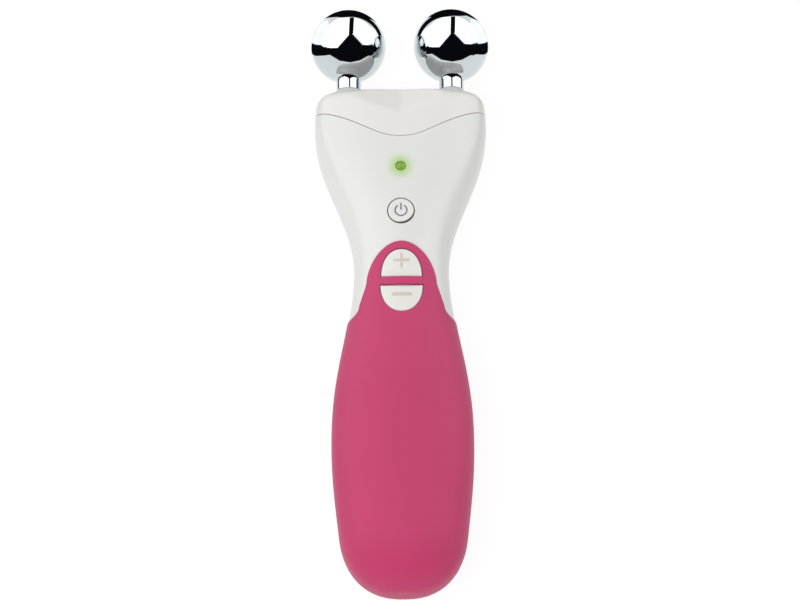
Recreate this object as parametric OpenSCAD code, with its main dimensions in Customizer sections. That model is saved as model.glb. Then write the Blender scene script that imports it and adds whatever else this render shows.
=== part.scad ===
// Facial toning device: two ball electrodes on a capped head, three buttons,
// a soft grip, and a battery compartment in the handle.
// It lies on its back: +Z is up and out of the front, +Y runs towards the balls.
// All lengths are millimetres and all angles are degrees.

/* [Body outline, from the front] */
// Length of the body above the edge of the grip, to the top of the head cap
upper_l = 70.8; // [64:0.1:78]
// Width just above the rounded bottom end
end_w = 35; // [32:0.5:38]
// Greatest width of the handle
handle_w = 41; // [39:0.5:46]
// Width of the waist
waist_w = 27.7; // [27:0.1:31]
// Greatest width of the head
head_w = 50; // [47:0.5:54]
// Width of the head at its top, before the corners are rounded
cap_w = 49; // [46:0.5:53]
// Distance of the widest part of the handle from the bottom end
handle_at = 44; // [38:1:50]
// Distance of the waist above the edge of the grip
waist_up = 16.5; // [14:0.5:19]
// Distance of the widest part of the head below the top of the cap
head_down = 9.3; // [8:0.1:12]
// Length of the rounded bottom end
end_round = 18; // [14:0.5:20]
// Radius of the rounded edge at the top of the head cap
cap_round = 4; // [3.6:0.1:5]

/* [Body depth, from the side] */
// Height of the handle's axis above the table
axis_h = 16.5; // [15.5:0.1:17]
// Depth of the handle in front of the axis
handle_front = 12.5; // [12:0.1:14]
// Depth of the handle behind the axis, before it is cut flat
handle_back = 16.9; // [16.7:0.1:17.5]
// Length over which the back rises to the waist
back_rise_l = 42; // [36:1:46]
// Depth of the waist in front of the axis
waist_front = 11.3; // [11:0.1:12]
// Depth of the waist behind the axis
waist_back = 11.2; // [10.8:0.1:11.6]
// Depth of the head in front of the axis
head_front = 12.8; // [12.4:0.1:13.6]
// Depth of the head behind the axis
head_back = 10.7; // [10.2:0.1:10.8]
// Angle by which the head leans back from the handle
bend = 6; // [5:0.25:7]
// Distance of the bend's start below the edge of the grip
bend_down = 1.5; // [0:0.5:4]
// Length of the bend
bend_l = 30; // [28:1:32]
// Squareness of the handle's cross-section: 2 is an ellipse
section_power = 2.4; // [2.3:0.05:2.6]
// Squareness of the head's cross-section
head_power = 3.8; // [3.4:0.1:4.2]

/* [Walls and seams] */
// Wall of the two shells
wall = 2.2; // [2:0.1:2.4]
// Top wall of the head cap
cap_wall = 2.6; // [2.2:0.1:2.8]
// Thickness of the soft grip
grip_t = 1; // [0.8:0.05:1.2]
// How far the grip stands out from the shells
grip_proud = 0.3; // [0.1:0.05:0.4]
// Gap between pieces that are fixed side by side
fit_gap = 0.05; // [0.03:0.01:0.1]
// Gap at the seam between the shells and the head cap
seam_gap = 0.2; // [0.1:0.05:0.3]
// Distance of the seam below the top of the cap, at the sides of the head
seam_down = 6.8; // [6.2:0.1:7.4]
// How far the seam dips in the middle of the head
seam_dip = 9.3; // [8:0.1:10]
// Depth of the cap's skirt inside the shells
skirt_l = 4; // [3:0.5:5]
// Thickness of the cap's skirt
skirt_t = 1; // [0.8:0.1:1.4]

/* [Grip panel and keys] */
// Height of the arch's straight sides above the edge of the grip
arch_up = 9.5; // [8.5:0.1:10.5]
// Height of the arch's round top
arch_l = 12.3; // [11.5:0.1:13]
// Width of the arch where it starts to round off
arch_w = 20.4; // [19.5:0.1:21]
// Width of the panel at the foot of the arch
arch_foot_w = 24.8; // [24:0.1:26]
// Radius of the flare at the foot of the arch
arch_flare = 3.2; // [2.5:0.1:3.6]
// Width of the plus key
plus_w = 11.9; // [11:0.1:12.4]
// Length of the plus key
plus_l = 8.3; // [7.8:0.1:8.6]
// Width of the minus key
minus_w = 12.4; // [11.6:0.1:12.8]
// Length of the minus key
minus_l = 8.1; // [7.6:0.1:8.4]
// Distance of the bridge between the two keys above the edge of the grip
bridge_up = 9.6; // [9.2:0.1:10.4]
// Width of the bridge between the two keys
bridge_w = 2.7; // [2.2:0.1:3.2]
// Gap around the keys and the power button
key_gap = 0.2; // [0.12:0.02:0.3]
// Travel of the keys and the power button
travel = 0.4; // [0.3:0.05:0.5]

/* [Power button and status light] */
// Distance of the power button above the top of the arch
power_up = 9.5; // [8:0.1:11]
// Diameter of the power button
power_d = 7.7; // [7.2:0.1:8.6]
// How far the power button stands out of the shell
power_proud = 0.35; // [0.1:0.05:0.6]
// Distance of the status light below the middle of the seam
light_down = 9.5; // [8:0.1:10.5]
// Diameter of the status light
light_d = 3; // [2.6:0.1:3.4]

/* [Electrodes] */
// Diameter of the balls
ball_d = 21.8; // [20:0.1:22.5]
// Distance between the centres of the balls
ball_gap = 30; // [29.5:0.1:32]
// Distance of the balls' centres above the top of the cap
ball_up = 16.7; // [15.5:0.1:18.5]
// Diameter of the necks
neck_d = 7.2; // [6.6:0.1:7.6]
// Radius of the fillet between neck and ball
neck_fillet = 2; // [1.6:0.1:2.4]
// Wall of the hollow balls
ball_wall = 1.2; // [1:0.1:1.6]
// Diameter of the bosses on the cap at their foot
boss_d = 11.2; // [10.4:0.1:11.6]
// Height of the bosses above the cap
boss_l = 2.3; // [2:0.1:2.6]
// Diameter of the spigot that passes through the cap
spigot_d = 5; // [4.6:0.1:5.2]

/* [Battery compartment] */
// Diameter of a cell
cell_d = 10.5; // [10:0.1:10.5]
// Length of a cell without its nub
cell_l = 43.7; // [40:0.1:48]
// Gap between the two cells
cell_gap = 0.8; // [0.6:0.1:1]
// Width of the battery door
door_w = 22.4; // [21.8:0.1:22.8]
// Distance of the battery door's hinge from the bottom end
hinge_at = 22; // [20:0.1:24]
// Distance from the hinge to the cells
cell_up = 5.5; // [5:0.1:6.5]
// Height of the battery door's hinge above the table
hinge_h = 4; // [3.8:0.05:4.1]
// Angle to which the battery door opens
door_swing = 60; // [30:5:60]
// Length of the battery door beyond the cells
door_over = 1.8; // [1.4:0.1:2.6]
// Length of the grip beyond the battery door
grip_over = 8.5; // [7:0.1:11]
// Gap around the battery door
door_gap = 0.25; // [0.2:0.01:0.35]
// Thickness of the battery door
door_t = 2.2; // [2:0.1:2.3]
// Diameter of the hinge pins
hinge_pin_d = 1.2; // [1:0.05:1.4]
// Radial clearance of the hinge pins
pin_gap = 0.06; // [0.04:0.01:0.09]

/* [Circuit board] */
// Width of the board
board_w = 18.6; // [17:0.1:19]
// Thickness of the board
board_t = 1.6; // [1.2:0.1:1.6]
// Height of the board's front face above the head's axis
board_h = 4.6; // [4.2:0.1:4.8]
// Distance of the board's lower end below the edge of the grip
board_down = 1; // [0.5:0.1:1.5]
// Distance of the board's upper end below the top of the cap
board_end_down = 17.8; // [17:0.1:20]
// Width of a tactile switch
switch_w = 6; // [5.5:0.1:6.2]
// Height of a tactile switch's housing
switch_t = 2.2; // [2:0.1:2.4]

/* [Hidden] */
$fn = 48;

// Distances from the bottom end, along the axis. The handle is as long as its cells need.
cell_at = hinge_at + cell_up;
cell_end = cell_at + cell_l;
door_end_at = cell_end + door_over;
grip_at = door_end_at + grip_over;
body_l = grip_at + upper_l;
waist_at = grip_at + waist_up;
head_at = body_l - head_down;
back_rise_at = waist_at - back_rise_l;
bend_at = grip_at - bend_down;
seam_side_at = body_l - seam_down;
arch_at = grip_at + arch_up;
bridge_at = grip_at + bridge_up;
power_at = arch_at + arch_l + power_up;
light_at = seam_side_at - seam_dip - light_down;
ball_at = body_l + ball_up;
board_at = grip_at - board_down;
board_end_at = body_l - board_end_down;

// Colours
WHITE = [0.90, 0.90, 0.88];
PINK = [0.76, 0.30, 0.45];
CHROME = [0.80, 0.81, 0.83];
STEEL = [0.66, 0.67, 0.69];
BLACK = [0.10, 0.10, 0.11];
GREEN = [0.10, 0.36, 0.22];

// ---- The body's form: an axis with a bend, and a rounded section along it ----

// How late the waist's narrowing sets in, and the roundness of the bottom end
waist_lag = 1.2;
end_power = 2.3;
bend_end = bend_at + bend_l;
bend_r = bend_l * 180 / (PI * bend);

function clamp(t) = min(1, max(0, t));
function ease(t) = (1 - cos(180 * clamp(t))) / 2;
function between(s, from, to, a, b, lag = 1) =
    a + (b - a) * ease(pow(clamp((s - from) / (to - from)), lag));

function half_width(s) =
    s < handle_at ? between(s, 0, handle_at, end_w, handle_w) / 2 :
    s < waist_at ? between(s, handle_at, waist_at, handle_w, waist_w, waist_lag) / 2 :
    s < head_at ? between(s, waist_at, head_at, waist_w, head_w) / 2 :
    between(s, head_at, body_l, head_w, cap_w) / 2;
function front_depth(s) =
    s < waist_at ? between(s, handle_at, waist_at, handle_front, waist_front) :
    between(s, waist_at, head_at, waist_front, head_front);
function back_depth(s) =
    s < waist_at ? between(s, back_rise_at, waist_at, handle_back, waist_back, waist_lag) :
    between(s, waist_at, head_at, waist_back, head_back);

// The axis: its angle, its distance from the bottom end and its height at s
function lean(s) = bend * clamp((s - bend_at) / bend_l);
function axis_y(s) =
    s < bend_at ? s :
    bend_at + bend_r * sin(lean(s)) + max(0, s - bend_end) * cos(bend);
function axis_z(s) =
    axis_h - bend_r * (1 - cos(lean(s))) - max(0, s - bend_end) * sin(bend);

// The balls touch the table, which fixes how far their axis lies before the head's
ball_v = (ball_d / 2 - axis_z(ball_at)) / cos(bend);
ball_y = axis_y(ball_at) + ball_v * sin(bend);
// The origin lies below the middle of the whole length
mid_y = (ball_y + ball_d / 2 - grip_proud) / 2;

// A point of the skin at distance s, angle a (0 is +X, 90 is the front), inset by d
function end_scale(s, d) =
    s >= end_round ? 1 :
    pow(1 - pow(min(1, (end_round - s) / (end_round - d)), end_power), 1 / end_power);
function cap_inset(s, d) =
    let (r = cap_round - d, t = clamp((s - body_l + cap_round) / r))
    r * (1 - sqrt(1 - t * t));
// A section that is a circle at power 2 and nears a square as the power grows
function section_reach(a, power) =
    1 / pow(pow(abs(cos(a)), power) + pow(abs(sin(a)), power), 1 / power);
function squareness(s) = between(s, waist_at, head_at, section_power, head_power);
function skin(s, a, d) =
    let (
        depth = sin(a) >= 0 ? front_depth(s) : back_depth(s),
        inset = d + cap_inset(s, d),
        far = end_scale(s, d) * section_reach(a, squareness(s)),
        x = far * (half_width(s) - inset) * cos(a),
        q = far * (depth - inset) * sin(a)
    )
    [x, axis_y(s) + q * sin(lean(s)) - mid_y, max(d + grip_proud, axis_z(s) + q * cos(lean(s)))];

// The seam under the cap dips in the middle of the front and the back, as a V with
// a round bottom: how much of its half width is round, and how soon that ends
seam_round = 0.33;
seam_bend = 1.7;
function seam_at(a) =
    let (across = abs(cos(a)) * section_reach(a, head_power))
    seam_side_at - seam_dip * (1 - across * (1 - exp(-pow(across / seam_round, seam_bend))));

// ---- Closed shapes from rings of points ----

function strip(i, m) = [
    for (j = [0 : m - 1])
        let (a = i * m + j, b = i * m + (j + 1) % m)
        each [[a, b, b + m], [a, b + m, a + m]]
];

// A solid through rings that each go once round, closed flat at both ends
module ringed(rings) {
    m = len(rings[0]);
    n = len(rings);
    polyhedron(
        points = [for (ring = rings) each ring],
        faces = [
            [for (j = [m - 1 : -1 : 0]) j],
            for (i = [0 : n - 2]) each strip(i, m),
            [for (j = [0 : m - 1]) (n - 1) * m + j]
        ]
    );
}

// A half shell from rings that run out along the skin and back along its inside,
// with its wall closed round the bottom end and open at the top
module half_shell(rings) {
    m = len(rings[0]);
    k = m / 2 - 1;
    n = len(rings);
    top = (n - 1) * m;
    polyhedron(
        points = [for (ring = rings) each ring],
        faces = [
            [for (j = [k : -1 : 0]) j],
            [for (j = [0 : k]) m - 1 - j],
            [k, 0, m - 1, k + 1],
            for (i = [0 : n - 2]) each strip(i, m),
            for (j = [0 : k - 1])
                each [[top + j, top + j + 1, top + m - 2 - j], [top + j, top + m - 2 - j, top + m - 1 - j]]
        ]
    );
}

// Angles along one half of the section, from the first to the second
sides = 20;
function half_turn(from, to) = [for (k = [0 : sides]) from + (to - from) * k / sides];

// Distances of the rings: close together round the bottom end, then at even steps
function end_stations(d) =
    [for (t = [10, 22, 34, 46, 58, 69, 80]) end_round - (end_round - d) * cos(t)];
function even_stations(from, to, step) =
    let (n = ceil((to - from) / step))
    [for (i = [0 : n]) from + (to - from) * i / n];

function wall_ring(s_out, s_in, angles, d_out, d_in) = [
    for (a = angles) skin(s_out, a, d_out),
    for (k = [len(angles) - 1 : -1 : 0]) skin(s_in, angles[k], d_in)
];

// Rings of a wall between two insets, from the bottom end up to a straight edge
function wall_rings(to, angles, d_out, d_in) =
    let (
        outer = end_stations(d_out),
        inner = end_stations(d_in),
        straight = even_stations(end_round, min(to, bend_at), 7),
        bent = [for (s = even_stations(bend_at, max(to, bend_at + 1), 5)) if (s > bend_at && s <= to) s]
    )
    [
        for (i = [0 : len(outer) - 1]) wall_ring(outer[i], inner[i], angles, d_out, d_in),
        for (s = concat(straight, bent)) wall_ring(s, s, angles, d_out, d_in)
    ];

// Above this place the rings spread out to end along the seam
spread_at = seam_side_at - seam_dip - 14.2;
function seam_ring(t, angles, d_out, d_in) =
    let (reach = [for (a = angles) spread_at + (seam_at(a) - seam_gap / 2 - spread_at) * t])
    [
        for (k = [0 : sides]) skin(reach[k], angles[k], d_out),
        for (k = [sides : -1 : 0]) skin(reach[k], angles[k], d_in)
    ];

module shell_half(angles) {
    half_shell(concat(
        wall_rings(spread_at - 4, angles, 0, wall),
        [for (t = [0, 0.25, 0.5, 0.75, 1]) seam_ring(t, angles, 0, wall)]
    ));
}

// The head's own frame: y is the distance along the head's axis, z its height above it
module in_head() {
    translate([0, axis_y(bend_end) - mid_y, axis_z(bend_end)])
        rotate([-bend, 0, 0])
            translate([0, -bend_end, 0])
                children();
}
function to_head(p) =
    let (y = p[1] + mid_y - axis_y(bend_end), z = p[2] - axis_z(bend_end))
    [p[0], bend_end + y * cos(bend) - z * sin(bend), y * sin(bend) + z * cos(bend)];
// Height of the front skin above the head's axis at distance s
function front_h(s, d = 0) = to_head(skin(s, 90, d))[2];

// A cylinder along the head's axis, from one distance to another
module along_head(x, from, to, v, r1, r2) {
    translate([x, from, v])
        rotate([-90, 0, 0])
            cylinder(h = to - from, r1 = r1, r2 = r2);
}

module both_sides() {
    children();
    mirror([1, 0, 0]) children();
}

// ---- Outlines of the panel and the keys, in the head's own frame ----

grip_edge = to_head([0, axis_y(grip_at) - mid_y, axis_z(grip_at)])[1];
arch_power = 1.8;
outline_steps = 24;
function signed_power(v, p) = sign(v) * pow(abs(v), p);
function round_top(half_w, base, l, power) = [
    for (t = [0 : 180 / outline_steps : 180])
        [half_w * signed_power(cos(t), 2 / power), base + l * pow(sin(t), 2 / power)]
];
function flare(grow) = [
    for (t = [270 : -15 : 180])
        [arch_foot_w / 2 + arch_flare + (arch_flare - grow) * cos(t),
         grip_edge + arch_flare + (arch_flare - grow) * sin(t)]
];
// The panel and all of the handle below it, grown by a gap on every side
function panel_outline(grow) =
    let (
        side = flare(grow),
        beyond = head_w,
        top = round_top(arch_w / 2 + grow, arch_at, arch_l + grow, arch_power)
    )
    concat(
        [[-beyond, -beyond], [beyond, -beyond], [beyond, grip_edge + grow]],
        side, top,
        [for (k = [len(side) - 1 : -1 : 0]) [-side[k][0], side[k][1]]],
        [[-beyond, grip_edge + grow]]
    );

// Each key is flat towards the bridge and round on its far side
key_power = 2.15;
module key_outline(w, l, away, grow) {
    translate([0, bridge_at])
        rotate(away < 0 ? 180 : 0)
            polygon(round_top(w / 2 + grow, bridge_w / 2 - grow, l + 2 * grow, key_power));
}
module plus_outline(grow) {
    key_outline(plus_w, plus_l, 1, grow);
}
module minus_outline(grow) {
    key_outline(minus_w, minus_l, -1, grow);
}
// The keys are widest, and their switches stand, a little nearer to the bridge than half way
key_middle = 0.42;
plus_at = bridge_at + bridge_w / 2 + plus_l * key_middle;
minus_at = bridge_at - bridge_w / 2 - minus_l * key_middle;

// Heights in the head's frame: the switches stand on the board, the stems on them
switch_top = board_h + switch_t;
stem_top = switch_top + 0.7;
stem_d = 3.2;
stem_gap = 0.08;
stem_depth = 1;
stem_spare = 0.15;
through = 20;

// ---- Casing ----

// Screws that hold the two shells: in the head, and in the bottom end
head_screw = [14, body_l - 23.3];
end_screw = [7, 13];
screw_d = 2.2;
screw_bite = 4.5;
screw_head_d = 4;
screw_head_t = 1.6;
screw_head_gap = 0.2;
boss_r = 3;
boss_floor = 2.3;
end_boss_floor = 3.15;
screw_floor_t = 1.8;
head_screw_floor = screw_floor_t + boss_floor - back_depth(head_screw[1]);
end_screw_floor = end_boss_floor + 2.25;
// Screws that hold the board, clear of the keys, the light and the cap's skirt
board_screw_d = 1.8;
board_screw_bite = 3;
board_boss_r = 2.1;
// How far the bosses of the head and the end stop short of the skin's highest line,
// and how far those of the board run into the wall
head_boss_sink = 0.2;
end_boss_sink = 1.6;
overlap = 0.3;
grip_depth = grip_t - grip_proud;
board_screws_at = [[0, power_at - 8.3], [-6.5, board_end_at - 5], [6.5, board_end_at - 5]];

module button_holes(grow) {
    in_head()
        translate([0, 0, board_h + fit_gap])
            linear_extrude(through) {
                plus_outline(grow);
                minus_outline(grow);
            }
}

// Children at the screws in the head, in the head's frame, and at those in the bottom end
module at_head_screws(h) {
    in_head()
        both_sides()
            translate([head_screw[0], head_screw[1], h])
                children();
}
module at_end_screws(h) {
    both_sides()
        translate([end_screw[0], end_screw[1] - mid_y, h])
            children();
}

// The step that the grip fills, cut into the front shell
module grip_recess() {
    intersection() {
        half_shell(wall_rings(arch_at + arch_l + 6, half_turn(-8, 188), -1.5, grip_depth + fit_gap));
        in_head()
            linear_extrude(through + handle_back, center = true)
                polygon(panel_outline(fit_gap));
    }
}

module front_bosses() {
    at_head_screws(0)
        cylinder(h = front_h(head_screw[1], wall) - head_boss_sink, r = boss_r);
    at_end_screws(axis_h)
        cylinder(h = handle_front - wall - end_boss_sink, r = boss_r);
    in_head()
        for (at = board_screws_at)
            translate([at[0], at[1], board_h])
                cylinder(h = front_h(at[1], wall) - board_h + overlap, r = board_boss_r);
}

module front_bores() {
    at_head_screws(-1)
        cylinder(h = 1 + screw_bite + 0.5, d = screw_d);
    at_end_screws(axis_h - 1)
        cylinder(h = 1 + screw_bite + 0.5, d = screw_d);
    in_head() {
        for (at = board_screws_at)
            translate([at[0], at[1], board_h - 1])
                cylinder(h = 1 + board_screw_bite + 0.5, d = board_screw_d);
        translate([0, power_at, switch_top])
            cylinder(h = through, d = power_d + 2 * key_gap);
        translate([0, light_at, switch_top])
            cylinder(h = through, d = light_d + 2 * fit_gap);
    }
}

module front_shell() {
    color(WHITE)
        difference() {
            union() {
                shell_half(half_turn(0, 180));
                front_bosses();
            }
            grip_recess();
            button_holes(key_gap);
            front_bores();
        }
}

// A block with two round corners at its upper end, from the hinge's far side up
door_corner_r = 2.5;
module door_block(grow, h) {
    from = hinge_at - hinge_h - 1;
    half_w = door_w / 2 + grow;
    r = door_corner_r + grow;
    translate([0, -mid_y, -1])
        linear_extrude(h + 1) {
            translate([-half_w, from])
                square([2 * half_w, door_end_at + grow - r - from]);
            translate([r - half_w, from])
                square([2 * (half_w - r), door_end_at + grow - from]);
            for (x = [-1, 1])
                translate([x * (half_w - r), door_end_at + grow - r])
                    circle(r);
        }
}
// The door's opening: a round groove about the hinge, a straight hole beyond it, and
// a lip cut back to clear the line that the open door's face comes to
module door_opening() {
    r = hinge_h + door_gap / 2;
    intersection() {
        door_block(door_gap, door_depth);
        union() {
            translate([-door_w, hinge_at - mid_y, -2])
                cube([2 * door_w, body_l, through]);
            hinge_barrel(hinge_h + door_gap, 2 * door_w);
            translate([-door_w, hinge_at - mid_y, hinge_h])
                rotate([90, 0, 90])
                    linear_extrude(2 * door_w)
                        polygon([
                            [0, 0], [-r * sin(door_swing), -r * cos(door_swing)],
                            [-r * tan(door_swing / 2), -r],
                            [-r * tan(door_swing / 2), -2 * r], [0, -2 * r]
                        ]);
        }
    }
}
module hinge_barrel(r, l) {
    translate([-l / 2, hinge_at - mid_y, hinge_h])
        rotate([0, 90, 0])
            cylinder(h = l, r = r);
}
door_depth = 9;
hinge_pin_l = 1.2;
pin_end_gap = 0.25;
lug_r = 1.6;
lug_w = 1.8;
// Blocks inside the rear shell that hold the ends of the pins
pin_block_w = 2.2;
pin_block_l = 4;

module pin_blocks() {
    both_sides()
        translate([door_w / 2 + door_gap, hinge_at - pin_block_l / 2 - mid_y, hinge_h - 0.2])
            cube([pin_block_w, pin_block_l, pin_block_l / 2 + 0.2]);
}
module pin_bores() {
    hinge_barrel(hinge_pin_d / 2 + pin_gap, door_w + 2 * (hinge_pin_l + pin_end_gap));
}

module rear_bosses() {
    h = back_depth(head_screw[1]) - boss_floor;
    at_head_screws(-h)
        cylinder(h = h - fit_gap, r = boss_r);
    at_end_screws(end_boss_floor)
        cylinder(h = axis_h - end_boss_floor - fit_gap, r = boss_r);
}

module rear_bores() {
    head_r = screw_head_d / 2 + screw_head_gap;
    at_head_screws(-through) {
        cylinder(h = through + head_screw_floor, r = head_r);
        cylinder(h = through + 1, d = screw_d + screw_head_gap);
    }
    at_end_screws(-1) {
        cylinder(h = 1 + end_screw_floor, r = head_r);
        cylinder(h = through, d = screw_d + screw_head_gap);
    }
}

module rear_shell() {
    angles = half_turn(180, 360);
    edge = grip_at + fit_gap;
    below = wall_rings(edge, angles, grip_depth + fit_gap, wall);
    above = [
        for (s = even_stations(edge + fit_gap, spread_at - 4, 5)) wall_ring(s, s, angles, 0, wall)
    ];
    seam = [for (t = [0, 0.25, 0.5, 0.75, 1]) seam_ring(t, angles, 0, wall)];
    color(WHITE)
        difference() {
            union() {
                half_shell(concat(below, above, seam));
                rear_bosses();
                pin_blocks();
            }
            door_opening();
            pin_bores();
            rear_bores();
        }
}

module front_grip() {
    color(PINK)
        difference() {
            intersection() {
                half_shell(wall_rings(arch_at + arch_l + 4, half_turn(0, 180), -grip_proud, grip_depth));
                in_head()
                    linear_extrude(through + handle_back, center = true)
                        polygon(panel_outline(0));
            }
            button_holes(key_gap);
        }
}

module rear_grip() {
    color(PINK)
        difference() {
            half_shell(wall_rings(grip_at, half_turn(180, 360), -grip_proud, grip_depth));
            door_opening();
            pin_bores();
            at_end_screws(-1)
                cylinder(h = through, r = screw_head_d / 2 + screw_head_gap);
        }
}

// Scoop in the front of the cap, between the bosses: a wide, round-bottomed V
// that slopes back from a point on the front face
scoop_at = body_l - 8.7;
scoop_slope = 21.4;
scoop_rise = 7.4;
scoop_r = 12;
module scoop() {
    half_w = cap_w / 2;
    rise = half_w * tan(scoop_rise);
    translate([0, scoop_at, head_front])
        rotate([90 + scoop_slope, 0, 0])
            translate([0, 0, -through])
                linear_extrude(2 * through)
                    polygon(concat(
                        [[half_w, rise], [half_w, through], [-half_w, through], [-half_w, rise]],
                        [for (t = [-scoop_rise : scoop_rise / 4 : scoop_rise])
                            [scoop_r * sin(t), scoop_r * (1 / cos(scoop_rise) - cos(t))]]
                    ));
}

module head_cap() {
    angles = [for (k = [0 : 2 * sides - 1]) k * 180 / sides];
    skirt_in = wall + fit_gap + skirt_t;
    inner_top = body_l - cap_wall;
    boss_end = body_l + boss_l;
    boss_top_r = neck_d / 2 + 0.2;
    post_r = boss_d / 2 - 0.6;
    bore_r = spigot_d / 2 + fit_gap;
    function level(t, d, top) = [
        for (a = angles) let (from = seam_at(a) + seam_gap / 2) skin(from + (top - from) * t, a, d)
    ];
    function offset_level(up, d) = [for (a = angles) skin(seam_at(a) + up, a, d)];
    steps = [for (t = [0, 22, 45, 62, 76, 90]) sin(t)];
    color(WHITE)
        difference() {
            union() {
                ringed(concat(
                    [for (k = [len(steps) - 1 : -1 : 2]) level(steps[k], cap_wall, inner_top)],
                    [offset_level(1, skirt_in)],
                    [offset_level(-skirt_l, skirt_in), offset_level(-skirt_l, wall + fit_gap)],
                    [offset_level(seam_gap / 2, wall + fit_gap)],
                    [for (t = steps) level(t, 0, body_l)]
                ));
                in_head()
                    both_sides() {
                        along_head(ball_gap / 2, body_l - 0.5, boss_end, ball_v, boss_d / 2, boss_top_r);
                        along_head(ball_gap / 2, boss_foot, body_l - 0.4, ball_v, post_r, post_r);
                    }
            }
            in_head() {
                scoop();
                both_sides() {
                    along_head(ball_gap / 2, boss_foot - 1, boss_end + 1, ball_v, bore_r, bore_r);
                    along_head(ball_gap / 2, boss_end - seal_t, boss_end + 1, ball_v, seal_r, seal_r);
                }
            }
        }
}

// ---- Electrodes ----

seal_t = 0.8;
seal_r = spigot_d / 2 + 0.8;
// The posts under the bosses, and the spigots, which end just inside them
post_l = 3.2;
boss_foot = body_l - cap_wall - post_l;
spigot_end = boss_foot + 0.3;
tapped_l = 5;
tapped_r = 1.25;

// The profile of one electrode about its own axis: [radius, height above the shoulder]
shoulder_at = body_l + boss_l + fit_gap;
module electrode_profile() {
    r = ball_d / 2;
    neck = neck_d / 2;
    up = ball_at - shoulder_at;
    // The fillet's centre lies outside both the neck and the ball
    fx = neck + neck_fillet;
    fy = up - sqrt(pow(r + neck_fillet, 2) - fx * fx);
    fillet_end = atan2(up - fy, -fx);
    inner_r = r - ball_wall;
    foot = spigot_end - shoulder_at;
    polygon(concat(
        [[0, foot + tapped_l + 2], [0, foot + tapped_l], [tapped_r, foot + tapped_l],
         [tapped_r, foot], [spigot_d / 2, foot], [spigot_d / 2, 0], [neck, 0]],
        [for (k = [0 : 6])
            let (t = 180 + (fillet_end - 180) * k / 6)
            [fx + neck_fillet * cos(t), fy + neck_fillet * sin(t)]],
        [for (t = [-55 : 5 : 90]) [r * cos(t), up + r * sin(t)]],
        [for (t = [90 : -10 : -70]) [inner_r * cos(t), up + inner_r * sin(t)]]
    ));
}

module electrode(side) {
    color(CHROME)
        in_head()
            translate([side * ball_gap / 2, shoulder_at, ball_v])
                rotate([-90, 0, 0])
                    rotate_extrude($fn = 64)
                        electrode_profile();
}
module left_electrode() {
    electrode(-1);
}
module right_electrode() {
    electrode(1);
}

// The stack under each boss: solder tag, washer and screw head, one below the other
stack_gap = 0.02;
tag_t = 0.4;
tag_r = 3.4;
tag_w = 1.8;
tag_reach = 6.2;
washer_t = 0.7;
washer_r = 3.2;
post_screw_head_t = 1.6;
post_screw_head_r = 2.6;
tag_from = boss_foot - stack_gap - tag_t;
washer_from = tag_from - stack_gap - washer_t;
post_screw_from = washer_from - stack_gap - post_screw_head_t;

module post_ring(from, h, r_in, r_out) {
    in_head()
        both_sides()
            translate([ball_gap / 2, from, ball_v])
                rotate([-90, 0, 0])
                    difference() {
                        cylinder(h = h, r = r_out);
                        translate([0, 0, -1])
                            cylinder(h = h + 2, r = r_in);
                    }
}

module electrode_seals() {
    color(BLACK)
        post_ring(body_l + boss_l - seal_t + stack_gap, seal_t - stack_gap,
            spigot_d / 2 + stack_gap, seal_r - stack_gap);
}

module electrode_tags() {
    color("gold") {
        post_ring(tag_from, tag_t, tapped_r + 0.1, tag_r);
        in_head()
            both_sides()
                translate([ball_gap / 2 - tag_reach, tag_from, ball_v - tag_w / 2])
                    cube([tag_reach - tag_r + overlap, tag_t, tag_w]);
    }
}

module electrode_washers() {
    color(STEEL)
        post_ring(washer_from, washer_t, tapped_r + 0.1, washer_r);
}

module electrode_screws() {
    color(STEEL)
        in_head()
            both_sides()
                translate([ball_gap / 2, post_screw_from, ball_v])
                    rotate([-90, 0, 0])
                        difference() {
                            union() {
                                cylinder(h = post_screw_head_t, r = post_screw_head_r);
                                cylinder(h = spigot_end + tapped_l - 1 - post_screw_from,
                                    r = tapped_r - stack_gap);
                            }
                            cross_slot(0.9);
                        }
}

// A cross cut into a screw's head, from below
slot_l = 2.6;
slot_w = 0.6;
module cross_slot(depth) {
    for (turn = [0, 90])
        rotate(turn)
            translate([-slot_l / 2, -slot_w / 2, -1])
                cube([slot_l, slot_w, 1 + depth]);
}

// ---- Leads: round runs of insulated wire through a few points ----

lead_d = 1.2;
lead_sides = 8;
lead_steps = 4;
// A point of a smooth run through the points, t of the way from point i to the next
function run_point(p, i, t) =
    let (
        a = p[max(i - 1, 0)], b = p[i], c = p[i + 1], d = p[min(i + 2, len(p) - 1)]
    )
    b + ((c - a) * t + (2 * a - 5 * b + 4 * c - d) * t * t + (3 * b - a - 3 * c + d) * t * t * t) / 2;
module lead(points) {
    n = (len(points) - 1) * lead_steps;
    line = [
        for (k = [0 : n])
            let (i = min(floor(k / lead_steps), len(points) - 2))
            run_point(points, i, k / lead_steps - i)
    ];
    ringed([
        for (k = [0 : n])
            let (
                ahead = k == 0 ? points[1] - points[0] :
                    k == n ? points[len(points) - 1] - points[len(points) - 2] :
                    line[k + 1] - line[k - 1],
                run = ahead / norm(ahead),
                side = cross(run, [1, 0, 0]) / norm(cross(run, [1, 0, 0])),
                up = cross(side, run)
            )
            [for (j = [0 : lead_sides - 1])
                line[k] + lead_d / 2 * (cos(j * 360 / lead_sides) * side + sin(j * 360 / lead_sides) * up)]
    ]);
}
board_back = board_h - board_t;
lead_h = board_back - lead_d / 2 - fit_gap;
tag_lead_x = ball_gap / 2 - tag_reach + 1;
board_lead_x = 7.5;

module electrode_lead(side) {
    in_head()
        lead([
            [side * tag_lead_x, tag_from - fit_gap, ball_v],
            [side * tag_lead_x, tag_from - 4, ball_v],
            [side * board_lead_x, board_end_at + 1.5, lead_h],
            [side * board_lead_x, board_end_at - 2.5, lead_h]
        ]);
}
module left_lead() {
    color("white") electrode_lead(-1);
}
module right_lead() {
    color("white") electrode_lead(1);
}

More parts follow.
